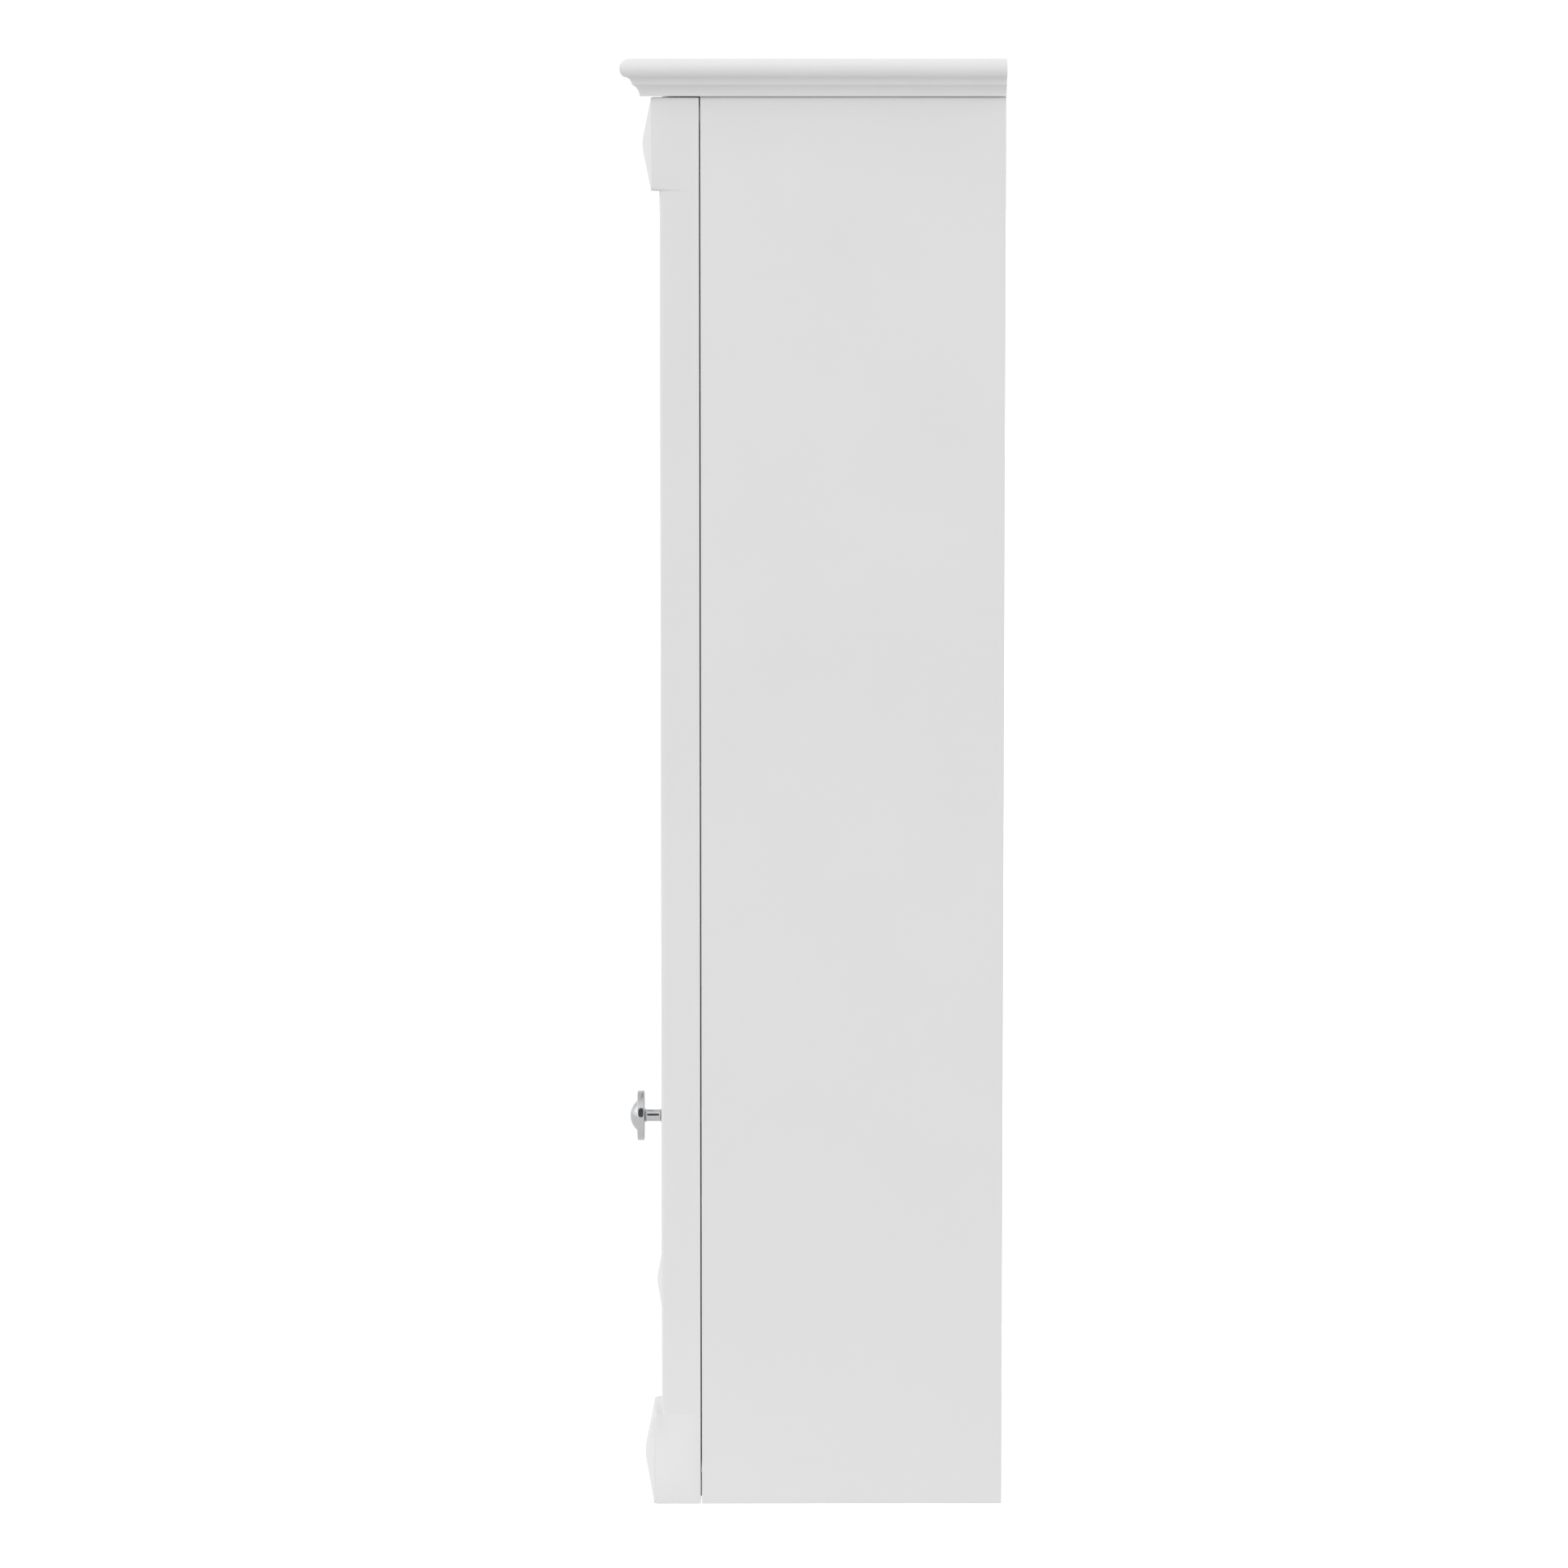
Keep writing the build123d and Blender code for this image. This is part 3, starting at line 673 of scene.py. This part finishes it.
def crownBoard():
    low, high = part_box("crown")
    outline = crownOutline(high.z - low.z)
    halfX = high.x
    depth = high.y - low.y
    foot = outline[0][0]
    level = outline[1][1]
    crown = addBlock(
        "crownBoard",
        (-(halfX - foot), low.y + foot, low.z),
        (halfX - foot, high.y, low.z + level),
    )
    pick(crown, "FACE", lambda f: f.normal.z > 0.9)
    reachX, reachY = halfX - foot, depth - foot
    for index, (setback, height) in enumerate(outline[1:]):
        if index:
            bpy.ops.mesh.extrude_region_move(
                TRANSFORM_OT_translate={"value": (0, 0, height - level)}
            )
        bpy.ops.transform.resize(
            value=((halfX - setback) / reachX, (depth - setback) / reachY, 1),
            center_override=(0, high.y, low.z + height),
        )
        reachX, reachY, level = halfX - setback, depth - setback, height
    bpy.ops.mesh.select_all(action="SELECT")
    bpy.ops.mesh.remove_doubles(threshold=0.01 * mm)
    bpy.ops.mesh.normals_make_consistent(inside=False)
    bpy.ops.object.mode_set(mode="OBJECT")
    applyModifier(
        crown,
        "BEVEL",
        width=crownValues["arris"],
        segments=2,
        limit_method="ANGLE",
        angle_limit=math.radians(crownValues["sharpDegrees"]),
    )
    finishPiece(
        crown, "cabinet", ["crown"], paint, smoothAngle=crownValues["sharpDegrees"]
    )


crownBoard()
print("crown modelled")


# door

doorValues = {
    "frontRound": 2.0 * mm,
    "backRound": 0.4 * mm,
    "sightBevel": 4.0 * mm,
    "arris": 0.5 * mm,
    "pocketPlay": 1.0 * mm,
    "pocketReach": 20 * mm,
}

glassLow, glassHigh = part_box("mirror_glass")


def mirrorPocket():
    play = doorValues["pocketPlay"]
    return addBlock(
        "pocket",
        (glassLow.x - play, glassLow.y, glassLow.z - play),
        (glassHigh.x + play, glassLow.y + doorValues["pocketReach"], glassHigh.z + play),
    )


def doorStile(side, name):
    node = "door_stile_" + name
    low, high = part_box(node)
    outerX = high.x if side > 0 else low.x
    innerX = low.x if side > 0 else high.x
    stile = addBlock("doorStile" + name.title(), low, high)
    v = doorValues
    bevelEdges(
        stile,
        lambda e: runsAlong(e, 2) and near(middle(e).x, outerX) and near(middle(e).y, low.y),
        v["frontRound"],
        5,
    )
    bevelEdges(
        stile,
        lambda e: runsAlong(e, 2) and near(middle(e).x, outerX) and near(middle(e).y, high.y),
        v["backRound"],
        3,
    )
    bevelEdges(
        stile,
        lambda e: runsAlong(e, 2) and near(middle(e).x, innerX) and near(middle(e).y, low.y),
        v["sightBevel"],
        1,
    )
    softenSightEdges(stile, 2, low.y)
    cutAway(stile, [mirrorPocket()])
    if side < 0:
        cutAway(stile, [hingeRecess(level, "door") for level in ("bottom", "top")])
    finishPiece(stile, "door", [node], paint, smoothAngle=50)


def softenSightEdges(piece, axis, frontY):
    # the two long edges of the bevel beside the mirror
    def isSightEdge(edge):
        place = middle(edge)
        if not runsAlong(edge, axis) or len(edge.link_faces) != 2:
            return False
        turn = math.degrees(edge.link_faces[0].normal.angle(edge.link_faces[1].normal))
        return abs(turn - 45) < 1 and place.y < frontY + doorValues["sightBevel"] + 0.1 * mm

    bevelEdges(piece, isSightEdge, doorValues["arris"], 2)


def doorRail(level):
    node = "door_rail_" + level
    low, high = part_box(node)
    outerZ = high.z if level == "top" else low.z
    innerZ = low.z if level == "top" else high.z
    rail = addBlock("doorRail" + level.title(), low, high)
    v = doorValues
    bevelEdges(
        rail,
        lambda e: runsAlong(e, 0) and near(middle(e).z, outerZ) and near(middle(e).y, low.y),
        v["frontRound"],
        5,
    )
    bevelEdges(
        rail,
        lambda e: runsAlong(e, 0) and near(middle(e).z, outerZ) and near(middle(e).y, high.y),
        v["arris"],
        3,
    )
    bevelEdges(
        rail,
        lambda e: runsAlong(e, 0) and near(middle(e).z, innerZ) and near(middle(e).y, low.y),
        v["sightBevel"],
        1,
    )
    softenSightEdges(rail, 0, low.y)
    cutAway(rail, [mirrorPocket()])
    finishPiece(rail, "door", [node], paint, smoothAngle=50)


blockValues = {
    "pyramidHeight": 5.0 * mm,
    "tipWidth": 4.6 * mm,
    "tipDrop": 0.5 * mm,
    "ridgeSoft": 1.9 * mm,
    "baseSoft": 0.5 * mm,
}


def cornerBlock(side, level):
    name = "left" if side < 0 else "right"
    node = f"corner_block_{level}_{name}"
    low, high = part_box(node)
    v = blockValues
    outerX = high.x if side > 0 else low.x
    outerZ = high.z if level == "top" else low.z
    faceY = low.y + v["pyramidHeight"]
    block = addBlock(f"cornerBlock{level.title()}{name.title()}", (low.x, faceY, low.z), high)
    width = high.x - low.x
    tip = v["tipWidth"] / width
    centre = ((low.x + high.x) / 2, low.y, (low.z + high.z) / 2)
    pick(block, "FACE", lambda f: f.normal.y < -0.9)
    bpy.ops.mesh.extrude_region_move(
        TRANSFORM_OT_translate={"value": (0, -(v["pyramidHeight"] - v["tipDrop"]), 0)}
    )
    bpy.ops.transform.resize(value=(tip, 1, tip), center_override=centre)
    # the tip and the four ridges are sanded round
    bevelEdges(
        block,
        lambda e: middle(e).y < faceY - 0.1 * mm,
        v["ridgeSoft"],
        4,
    )
    bevelEdges(
        block,
        lambda e: near(middle(e).y, faceY) and (runsAlong(e, 0) or runsAlong(e, 2)),
        v["baseSoft"],
        2,
    )
    bevelEdges(
        block,
        lambda e: (runsAlong(e, 2) and near(middle(e).x, outerX) and near(middle(e).y, high.y))
        or (runsAlong(e, 1) and near(middle(e).x, outerX) and near(middle(e).z, outerZ))
        or (runsAlong(e, 0) and near(middle(e).z, outerZ) and near(middle(e).y, high.y)),
        doorValues["backRound"],
        3,
    )
    cutAway(block, [mirrorPocket()])
    finishPiece(block, "door", [node], paint, smoothAngle=30)


for side, name in ((-1, "left"), (1, "right")):
    doorStile(side, name)
    for level in ("bottom", "top"):
        cornerBlock(side, level)
for level in ("bottom", "top"):
    doorRail(level)
print("door frame modelled")


# knob

knobValues = {
    "stemRadius": 3.0 * mm,
    "stemLength": 8.4 * mm,
    "flare": 1.2 * mm,
    "discThickness": 3.6 * mm,
    "rimSoft": 0.5 * mm,
    "backFlat": 0.6 * mm,
    "domeRadius": 7.6 * mm,
    "grooveDepth": 0.35 * mm,
    "grooveReach": 0.45 * mm,
    "sides": 96,
}


def knobOutline(discRadius, length):
    # radius and height above the door's face, from the foot of the stem to the top of the dome
    v = knobValues
    stem, flare, soft = v["stemRadius"], v["flare"], v["rimSoft"]
    low = v["stemLength"]
    high = low + v["discThickness"]
    dome = v["domeRadius"]
    rise = length - high
    curve = (dome ** 2 + rise ** 2) / (2 * rise)
    sweep = math.degrees(math.asin(dome / curve))
    outline = arcPoints((stem + flare, flare), flare, 270, 180, 6)
    outline += arcPoints((stem + flare, low - flare), flare, 180, 90, 6)
    outline += [(discRadius - soft - v["backFlat"], low)]
    outline += arcPoints((discRadius - soft, low + soft), soft, 270, 360, 5)
    outline += arcPoints((discRadius - soft, high - soft), soft, 0, 90, 5)
    # a fine groove is turned where the dome leaves the disc
    reach = v["grooveReach"]
    outline += [(dome + 2 * reach, high), (dome + reach, high - v["grooveDepth"]), (dome, high)]
    outline += arcPoints((0, length - curve), curve, 90 - sweep, 89.5, 16)[1:]
    return outline


def turnedKnob():
    low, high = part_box("knob")
    centreX, centreZ = (low.x + high.x) / 2, (low.z + high.z) / 2
    outline = knobOutline((high.x - low.x) / 2, high.y - low.y)
    clearSelection()
    bpy.ops.mesh.primitive_circle_add(
        vertices=knobValues["sides"],
        radius=outline[0][0],
        fill_type="NGON",
        location=(centreX, high.y, centreZ),
        rotation=(math.pi / 2, 0, 0),
    )
    knob = bpy.context.object
    knob.name = "knobTurned"
    bpy.ops.object.transform_apply(location=True, rotation=True, scale=True)
    pick(knob, "FACE", lambda f: True)
    radius, level = outline[0]
    for nextRadius, height in outline[1:]:
        bpy.ops.mesh.extrude_region_move(
            TRANSFORM_OT_translate={"value": (0, -(height - level), 0)}
        )
        ratio = nextRadius / radius
        bpy.ops.transform.resize(
            value=(ratio, 1, ratio), center_override=(centreX, high.y - height, centreZ)
        )
        radius, level = nextRadius, height
    bpy.ops.mesh.select_all(action="SELECT")
    bpy.ops.mesh.remove_doubles(threshold=0.005 * mm)
    bpy.ops.mesh.normals_make_consistent(inside=False)
    bpy.ops.object.mode_set(mode="OBJECT")
    finishPiece(knob, "door", ["knob"], makeChrome(), smoothAngle=40)


turnedKnob()
print("knob modelled")


# fittings

zincPlate = makePlating("zincPlatedSteel")
nickelPlate = makePlating("nickelPlatedSteel")


def softenedCopy(node, title, body, width, material):
    # the part's own solid with its sharp edges eased as stamping, tumbling or moulding leaves them
    makeActive(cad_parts[node])
    bpy.ops.object.duplicate()
    piece = bpy.context.object
    piece.name = title
    pick(piece, "FACE", lambda f: True)
    bpy.ops.mesh.remove_doubles(threshold=0.002 * mm)
    bpy.ops.mesh.select_all(action="SELECT")
    bpy.ops.mesh.dissolve_limited(angle_limit=math.radians(0.5))
    bpy.ops.object.mode_set(mode="OBJECT")
    applyModifier(
        piece,
        "BEVEL",
        width=width,
        segments=2,
        limit_method="ANGLE",
        angle_limit=math.radians(40),
        use_clamp_overlap=True,
    )
    finishPiece(piece, body, [node], material, smoothAngle=40)


easingValues = {"leaf": 0.18 * mm, "plate": 0.2 * mm, "moulding": 0.4 * mm}

for level in ("bottom", "top"):
    for body in ("cabinet", "door"):
        softenedCopy(
            f"hinge_{level}_{body}_leaf",
            f"hinge{level.title()}{body.title()}Leaf",
            body,
            easingValues["leaf"],
            nickelPlate,
        )
for node, title in (("strike_plate", "strikePlate"), ("mirror_clips", "mirrorClips")):
    softenedCopy(node, title, "door", easingValues["plate"], zincPlate)
softenedCopy(
    "catch_housing",
    "catchHousing",
    "cabinet",
    easingValues["moulding"],
    makeMoulded("whiteAbs"),
)
print("hinges, clips and catch eased")


screwValues = {
    "sides": 28,
    "slotWidth": 0.55 * mm,
    "slotShare": 0.62,
    "slotDepth": 0.55,
    "panHead": ((0.62, 0), (0.9, 0.22), (1, 0.62), (1, 1)),
    "flushRim": 0.12 * mm,
    "plainNeck": 0.8 * mm,
    "ringPitch": 1.1 * mm,
    "ringShares": (0.76, 0.97),
    "pointLengths": (1.2, 1.1),
    "pointShares": (0.7, 0.05),
}


def screwOutline(screw):
    # radius and depth below the top of the head, down to the point, with rings for the thread
    v = screwValues
    shank, length, head, height = (size * mm for size in screw["sizes"])
    if screw["flush"]:
        outline = [(head, 0), (head, v["flushRim"])]
        body = length
    else:
        outline = [(head * out, height * down) for out, down in v["panHead"]]
        body = height + length
    outline.append((shank, height))
    body -= v["pointLengths"][0] * shank
    root, crest = v["ringShares"]
    level = height + v["plainNeck"]
    outline.append((shank * crest, level))
    while level + v["ringPitch"] < body:
        outline.append((shank * root, level + 0.25 * v["ringPitch"]))
        outline.append((shank * crest, level + 0.5 * v["ringPitch"]))
        level += v["ringPitch"]
    shoulder, tip = v["pointShares"]
    outline.append((shank * shoulder, body))
    outline.append((shank * tip, body + v["pointLengths"][1] * shank))
    return outline


def modelScrew(screw, title):
    # modelled pointing down with the top of its head at the origin, then copied to its places
    outline = screwOutline(screw)
    clearSelection()
    bpy.ops.mesh.primitive_circle_add(
        vertices=screwValues["sides"], radius=outline[0][0], fill_type="NGON", location=(0, 0, 0)
    )
    model = bpy.context.object
    model.name = title
    pick(model, "FACE", lambda f: True)
    radius, level = outline[0]
    for nextRadius, depth in outline[1:]:
        bpy.ops.mesh.extrude_region_move(TRANSFORM_OT_translate={"value": (0, 0, level - depth)})
        ratio = nextRadius / radius
        bpy.ops.transform.resize(value=(ratio, ratio, 1), center_override=(0, 0, -depth))
        radius, level = nextRadius, depth
    bpy.ops.object.mode_set(mode="OBJECT")
    # the first face was carried along, so the head is closed again before the slots are cut
    pick(model, "EDGE", lambda e: all(abs(v.co.z) < 1e-7 for v in e.verts))
    bpy.ops.mesh.edge_face_add()
    bpy.ops.mesh.select_all(action="SELECT")
    bpy.ops.mesh.remove_doubles(threshold=0.001 * mm)
    bpy.ops.mesh.normals_make_consistent(inside=False)
    bpy.ops.object.mode_set(mode="OBJECT")
    head, height = screw["sizes"][2] * mm, screw["sizes"][3] * mm
    arm = head * screwValues["slotShare"]
    half = screwValues["slotWidth"] / 2
    depth = height * screwValues["slotDepth"]
    # the second slot is a hair deeper, so that the two floors don't lie in one plane
    cutAway(model, [addBlock("slotOne", (-arm, -half, -depth), (arm, half, mm))])
    cutAway(model, [addBlock("slotTwo", (-half, -arm, -depth * 1.02), (half, arm, mm))])
    return model


def setScrews(node, title, body, screw, places, material, slotName):
    # places give the top of each head and the way the screw points
    model = modelScrew(screw, title)
    copies = []
    for index, (top, points) in enumerate(places):
        makeActive(model)
        bpy.ops.object.duplicate()
        copy = bpy.context.object
        turn = Vector((0, 0, -1)).rotation_difference(Vector(points))
        spin = Quaternion((0, 0, 1), math.radians(23 + 37 * index))
        copy.rotation_mode = "QUATERNION"
        copy.rotation_quaternion = turn @ spin
        copy.location = top
        bpy.ops.object.transform_apply(location=True, rotation=True, scale=True)
        copies.append(copy)
    bpy.data.objects.remove(model)
    clearSelection()
    for copy in copies:
        copy.select_set(True)
    bpy.context.view_layer.objects.active = copies[0]
    if len(copies) > 1:
        bpy.ops.object.join()
    screws = bpy.context.view_layer.objects.active
    screws.name = title
    finishPiece(screws, body, [node], material, smoothAngle=38)


# sizes are shank radius, shank length, head radius and head height in millimetres
hingeScrew = {"sizes": (1.4, 13.0, 2.6, 1.2), "flush": True}
clipScrew = {"sizes": (1.4, 10.0, 2.8, 1.6), "flush": False}
catchScrew = {"sizes": (1.4, 12.0, 2.8, 1.8), "flush": False}
strikeScrew = {"sizes": (1.4, 12.0, 2.6, 1.2), "flush": True}
crownScrew = {"sizes": (2.0, 25.0, 4.0, 2.6), "flush": False}
knobScrew = {"sizes": (2.0, 26.0, 4.0, 2.4), "flush": False}


def looseBoxes(node):
    # the box round each loose solid of a node
    makeActive(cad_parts[node])
    bpy.ops.object.duplicate()
    copy = bpy.context.object
    pick(copy, "FACE", lambda f: True)
    bpy.ops.mesh.remove_doubles(threshold=0.002 * mm)
    bpy.ops.mesh.separate(type="LOOSE")
    bpy.ops.object.mode_set(mode="OBJECT")
    bits = list(bpy.context.selected_objects)
    boxes = []
    for bit in bits:
        points = [v.co for v in bit.data.vertices]
        low = Vector([min(p[i] for p in points) for i in range(3)])
        high = Vector([max(p[i] for p in points) for i in range(3)])
        boxes.append((low, high))
        bpy.data.objects.remove(bit)
    return boxes


def headPlaces(node, axis, sign):
    # the head's top is at the end of each screw that the given direction points away from
    points = Vector((0, 0, 0))
    points[axis] = sign
    places = []
    for low, high in looseBoxes(node):
        top = (low + high) / 2
        top[axis] = low[axis] if sign > 0 else high[axis]
        places.append((tuple(top), tuple(points)))
    return places


nickel = (nickelPlate, "nickel_plated_steel")
zinc = (zincPlate, "zinc_plated_steel")
for node, title, body, screw, axis, sign, plating in (
    ("hinge_cabinet_screws", "hingeScrewsCase", "cabinet", hingeScrew, 1, 1, nickel),
    ("hinge_door_screws", "hingeScrewsDoor", "door", hingeScrew, 1, -1, nickel),
    ("mirror_clip_screws", "mirrorClipScrews", "door", clipScrew, 1, -1, zinc),
    ("strike_screw", "strikeScrew", "door", strikeScrew, 1, -1, zinc),
    ("knob_screw", "knobScrew", "door", knobScrew, 1, -1, zinc),
    ("crown_screws", "crownScrews", "cabinet", crownScrew, 2, 1, zinc),
    ("catch_screws", "catchScrews", "cabinet", catchScrew, 0, 1, zinc),
):
    setScrews(node, title, body, screw, headPlaces(node, axis, sign), *plating)
print("screws set")


# finishes of the pieces kept from the frame

def coat(material, *nodes):
    for node in nodes:
        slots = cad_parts[node].data.materials
        slots.clear()
        slots.append(material)


coat(makeMirror(), "mirror_glass")
coat(makeHardboard(), "mirror_backing")
coat(makeBackBoard(), "back_panel")
coat(zincPlate, "back_nails", "catch_pole_plates")
coat(nickelPlate, "hinge_bottom_pin", "hinge_top_pin", "shelf_pins_lower", "shelf_pins_upper")
coat(makeMoulded("ferrite"), "catch_magnet")
coat(makeMoulded("clearPolyurethane"), "door_bumpers")
coat(makeMoulded("beech"), "case_dowels", "door_dowels")
print("finishes assigned")


# studio

studioValues = {
    "floorColour": "#8F8F8F",
    "floorMottle": "#8B8B8B",
    "floorSize": 60,
    "floorGlow": (0.28, 0.62, 1.0),
    "floorPool": (0.2, 1.2),
    "skyStrength": (1.54, 0.97),
    "skyLeftShare": 0.7,
    "skySides": (-0.6, 0.6),
    "skySeen": 1.05,
    "doorwayTowards": (0.92, 0.0, 0.33),
    "doorwayReach": (0.6, 0.27, 0.45),
    "doorwaySoftness": 0.3,
    "doorwayStrength": 0.08,
    "keyWatts": 12,
    "keyPlace": (-0.3, -4.2, 2.4),
    "keySize": 3.0,
}

cameraValues = {
    "place": (3.4207, -0.0350, 0.7050),
    "yaw": -0.0066,
    "tilt": 0.1090,
    "lens": 149.53,
}


def makeFloor():
    # pale paper on a light table: it reads as plain white, but lights the piece gently
    v = studioValues
    clearSelection()
    bpy.ops.mesh.primitive_plane_add(size=v["floorSize"], location=(0, 0, overallLow.z - 0.2 * mm))
    floor = bpy.context.object
    floor.name = "studioFloor"
    bpy.ops.object.transform_apply(location=True, rotation=True, scale=True)
    material, tree, shader = startMaterial("paperSweep")
    place = addNode(tree, "ShaderNodeTexCoord").outputs["Object"]
    mottle = addNode(
        tree, "ShaderNodeTexNoise", {"Scale": 3, "Detail": 4}, {"Vector": place}
    ).outputs["Fac"]
    stops = [(0.3, v["floorMottle"]), (0.7, v["floorColour"])]
    colour = addNode(tree, "ShaderNodeValToRGB", None, {"Fac": mottle}, stops).outputs["Color"]
    path = addNode(tree, "ShaderNodeLightPath").outputs
    low, inMetal, high = v["floorGlow"]
    gain, reach = v["floorPool"]
    centred = addNode(
        tree, "ShaderNodeMapping", {"Scale": [1 / reach] * 3}, {"Vector": place}
    ).outputs["Vector"]
    pool = addNode(
        tree, "ShaderNodeTexGradient", links={"Vector": centred}, gradient_type="SPHERICAL"
    ).outputs["Fac"]
    under = addNode(
        tree, "ShaderNodeMath", {1: gain, 2: low}, {0: pool}, operation="MULTIPLY_ADD"
    ).outputs["Value"]
    reflected = addNode(
        tree,
        "ShaderNodeMapRange",
        {"To Max": inMetal},
        {"Value": path["Is Glossy Ray"], "To Min": under},
    ).outputs["Result"]
    glow = addNode(
        tree,
        "ShaderNodeMapRange",
        {"To Max": high},
        {"Value": path["Is Camera Ray"], "To Min": reflected},
    ).outputs["Result"]
    tree.links.new(colour, shader.inputs["Base Color"])
    tree.links.new(glow, shader.inputs["Emission Strength"])
    shader.inputs["Roughness"].default_value = 0.9
    shader.inputs["Specular IOR Level"].default_value = 0.1
    shader.inputs["Emission Color"].default_value = linear("#FFFFFF")
    # clear from beneath, so the underside of the cabinet can be looked at
    beneath = addNode(tree, "ShaderNodeNewGeometry").outputs["Backfacing"]
    clear = addNode(tree, "ShaderNodeBsdfTransparent").outputs["BSDF"]
    surface = addNode(
        tree, "ShaderNodeMixShader", links={0: beneath, 1: shader.outputs["BSDF"], 2: clear}
    ).outputs["Shader"]
    tree.links.new(surface, tree.nodes["Material Output"].inputs["Surface"])
    floor.data.materials.append(material)


def makeSky():
    # a white room, brightest near the horizon, with a tall dark doorway for metal to reflect
    v = studioValues
    world = bpy.data.worlds.new("studioSky")
    bpy.context.scene.world = world
    world.use_nodes = True
    tree = world.node_tree
    towards = addNode(tree, "ShaderNodeTexCoord").outputs["Generated"]
    parts = addNode(tree, "ShaderNodeSeparateXYZ", links={"Vector": towards}).outputs
    horizon, zenith = v["skyStrength"]
    level = addNode(
        tree, "ShaderNodeMapRange", {"To Min": horizon, "To Max": zenith}, {"Value": parts["Z"]}
    ).outputs["Result"]
    leftToRight = addNode(
        tree,
        "ShaderNodeMapRange",
        {
            "From Min": v["skySides"][0],
            "From Max": v["skySides"][1],
            "To Min": v["skyLeftShare"],
        },
        {"Value": parts["X"]},
    ).outputs["Result"]
    reach = v["doorwayReach"]
    framed = addNode(
        tree,
        "ShaderNodeMapping",
        {
            "Location": [-c / r for c, r in zip(v["doorwayTowards"], reach)],
            "Scale": [1 / r for r in reach],
        },
        {"Vector": towards},
    ).outputs["Vector"]
    inside = addNode(
        tree, "ShaderNodeTexGradient", links={"Vector": framed}, gradient_type="SPHERICAL"
    ).outputs["Fac"]
    shade = addNode(
        tree,
        "ShaderNodeMapRange",
        {"From Max": v["doorwaySoftness"], "To Min": 1, "To Max": v["doorwayStrength"]},
        {"Value": inside},
    ).outputs["Result"]
    sided = addNode(
        tree, "ShaderNodeMath", links={0: level, 1: leftToRight}, operation="MULTIPLY"
    ).outputs["Value"]
    strength = addNode(
        tree, "ShaderNodeMath", links={0: sided, 1: shade}, operation="MULTIPLY"
    ).outputs["Value"]
    white = linear("#FFFFFF")
    lit = addNode(tree, "ShaderNodeBackground", {"Color": white}, {"Strength": strength})
    seen = addNode(tree, "ShaderNodeBackground", {"Color": white, "Strength": v["skySeen"]})
    looked = addNode(tree, "ShaderNodeLightPath").outputs["Is Camera Ray"]
    mixed = addNode(
        tree, "ShaderNodeMixShader", links={0: looked, 1: lit.outputs[0], 2: seen.outputs[0]}
    )
    tree.links.new(mixed.outputs[0], tree.nodes["World Output"].inputs["Surface"])


def makeKeyLight():
    v = studioValues
    light = bpy.data.lights.new("softKey", "AREA")
    light.energy = v["keyWatts"]
    light.size = v["keySize"]
    lamp = bpy.data.objects.new("softKey", light)
    bpy.context.scene.collection.objects.link(lamp)
    lamp.location = v["keyPlace"]
    target = (overallLow + overallHigh) / 2
    lamp.rotation_euler = (target - lamp.location).to_track_quat("-Z", "Y").to_euler()


def makeCamera():
    v = cameraValues
    data = bpy.data.cameras.new("sideCamera")
    data.sensor_width = 36
    data.lens = v["lens"]
    data.clip_end = 200
    camera = bpy.data.objects.new("sideCamera", data)
    bpy.context.scene.collection.objects.link(camera)
    camera.location = v["place"]
    flat = math.cos(v["tilt"])
    aim = Vector((-flat * math.cos(v["yaw"]), -flat * math.sin(v["yaw"]), -math.sin(v["tilt"])))
    camera.rotation_euler = aim.to_track_quat("-Z", "Y").to_euler()
    bpy.context.scene.camera = camera


makeFloor()
makeSky()
makeKeyLight()
makeCamera()
bpy.context.scene.view_settings.view_transform = "Standard"
print("studio ready")
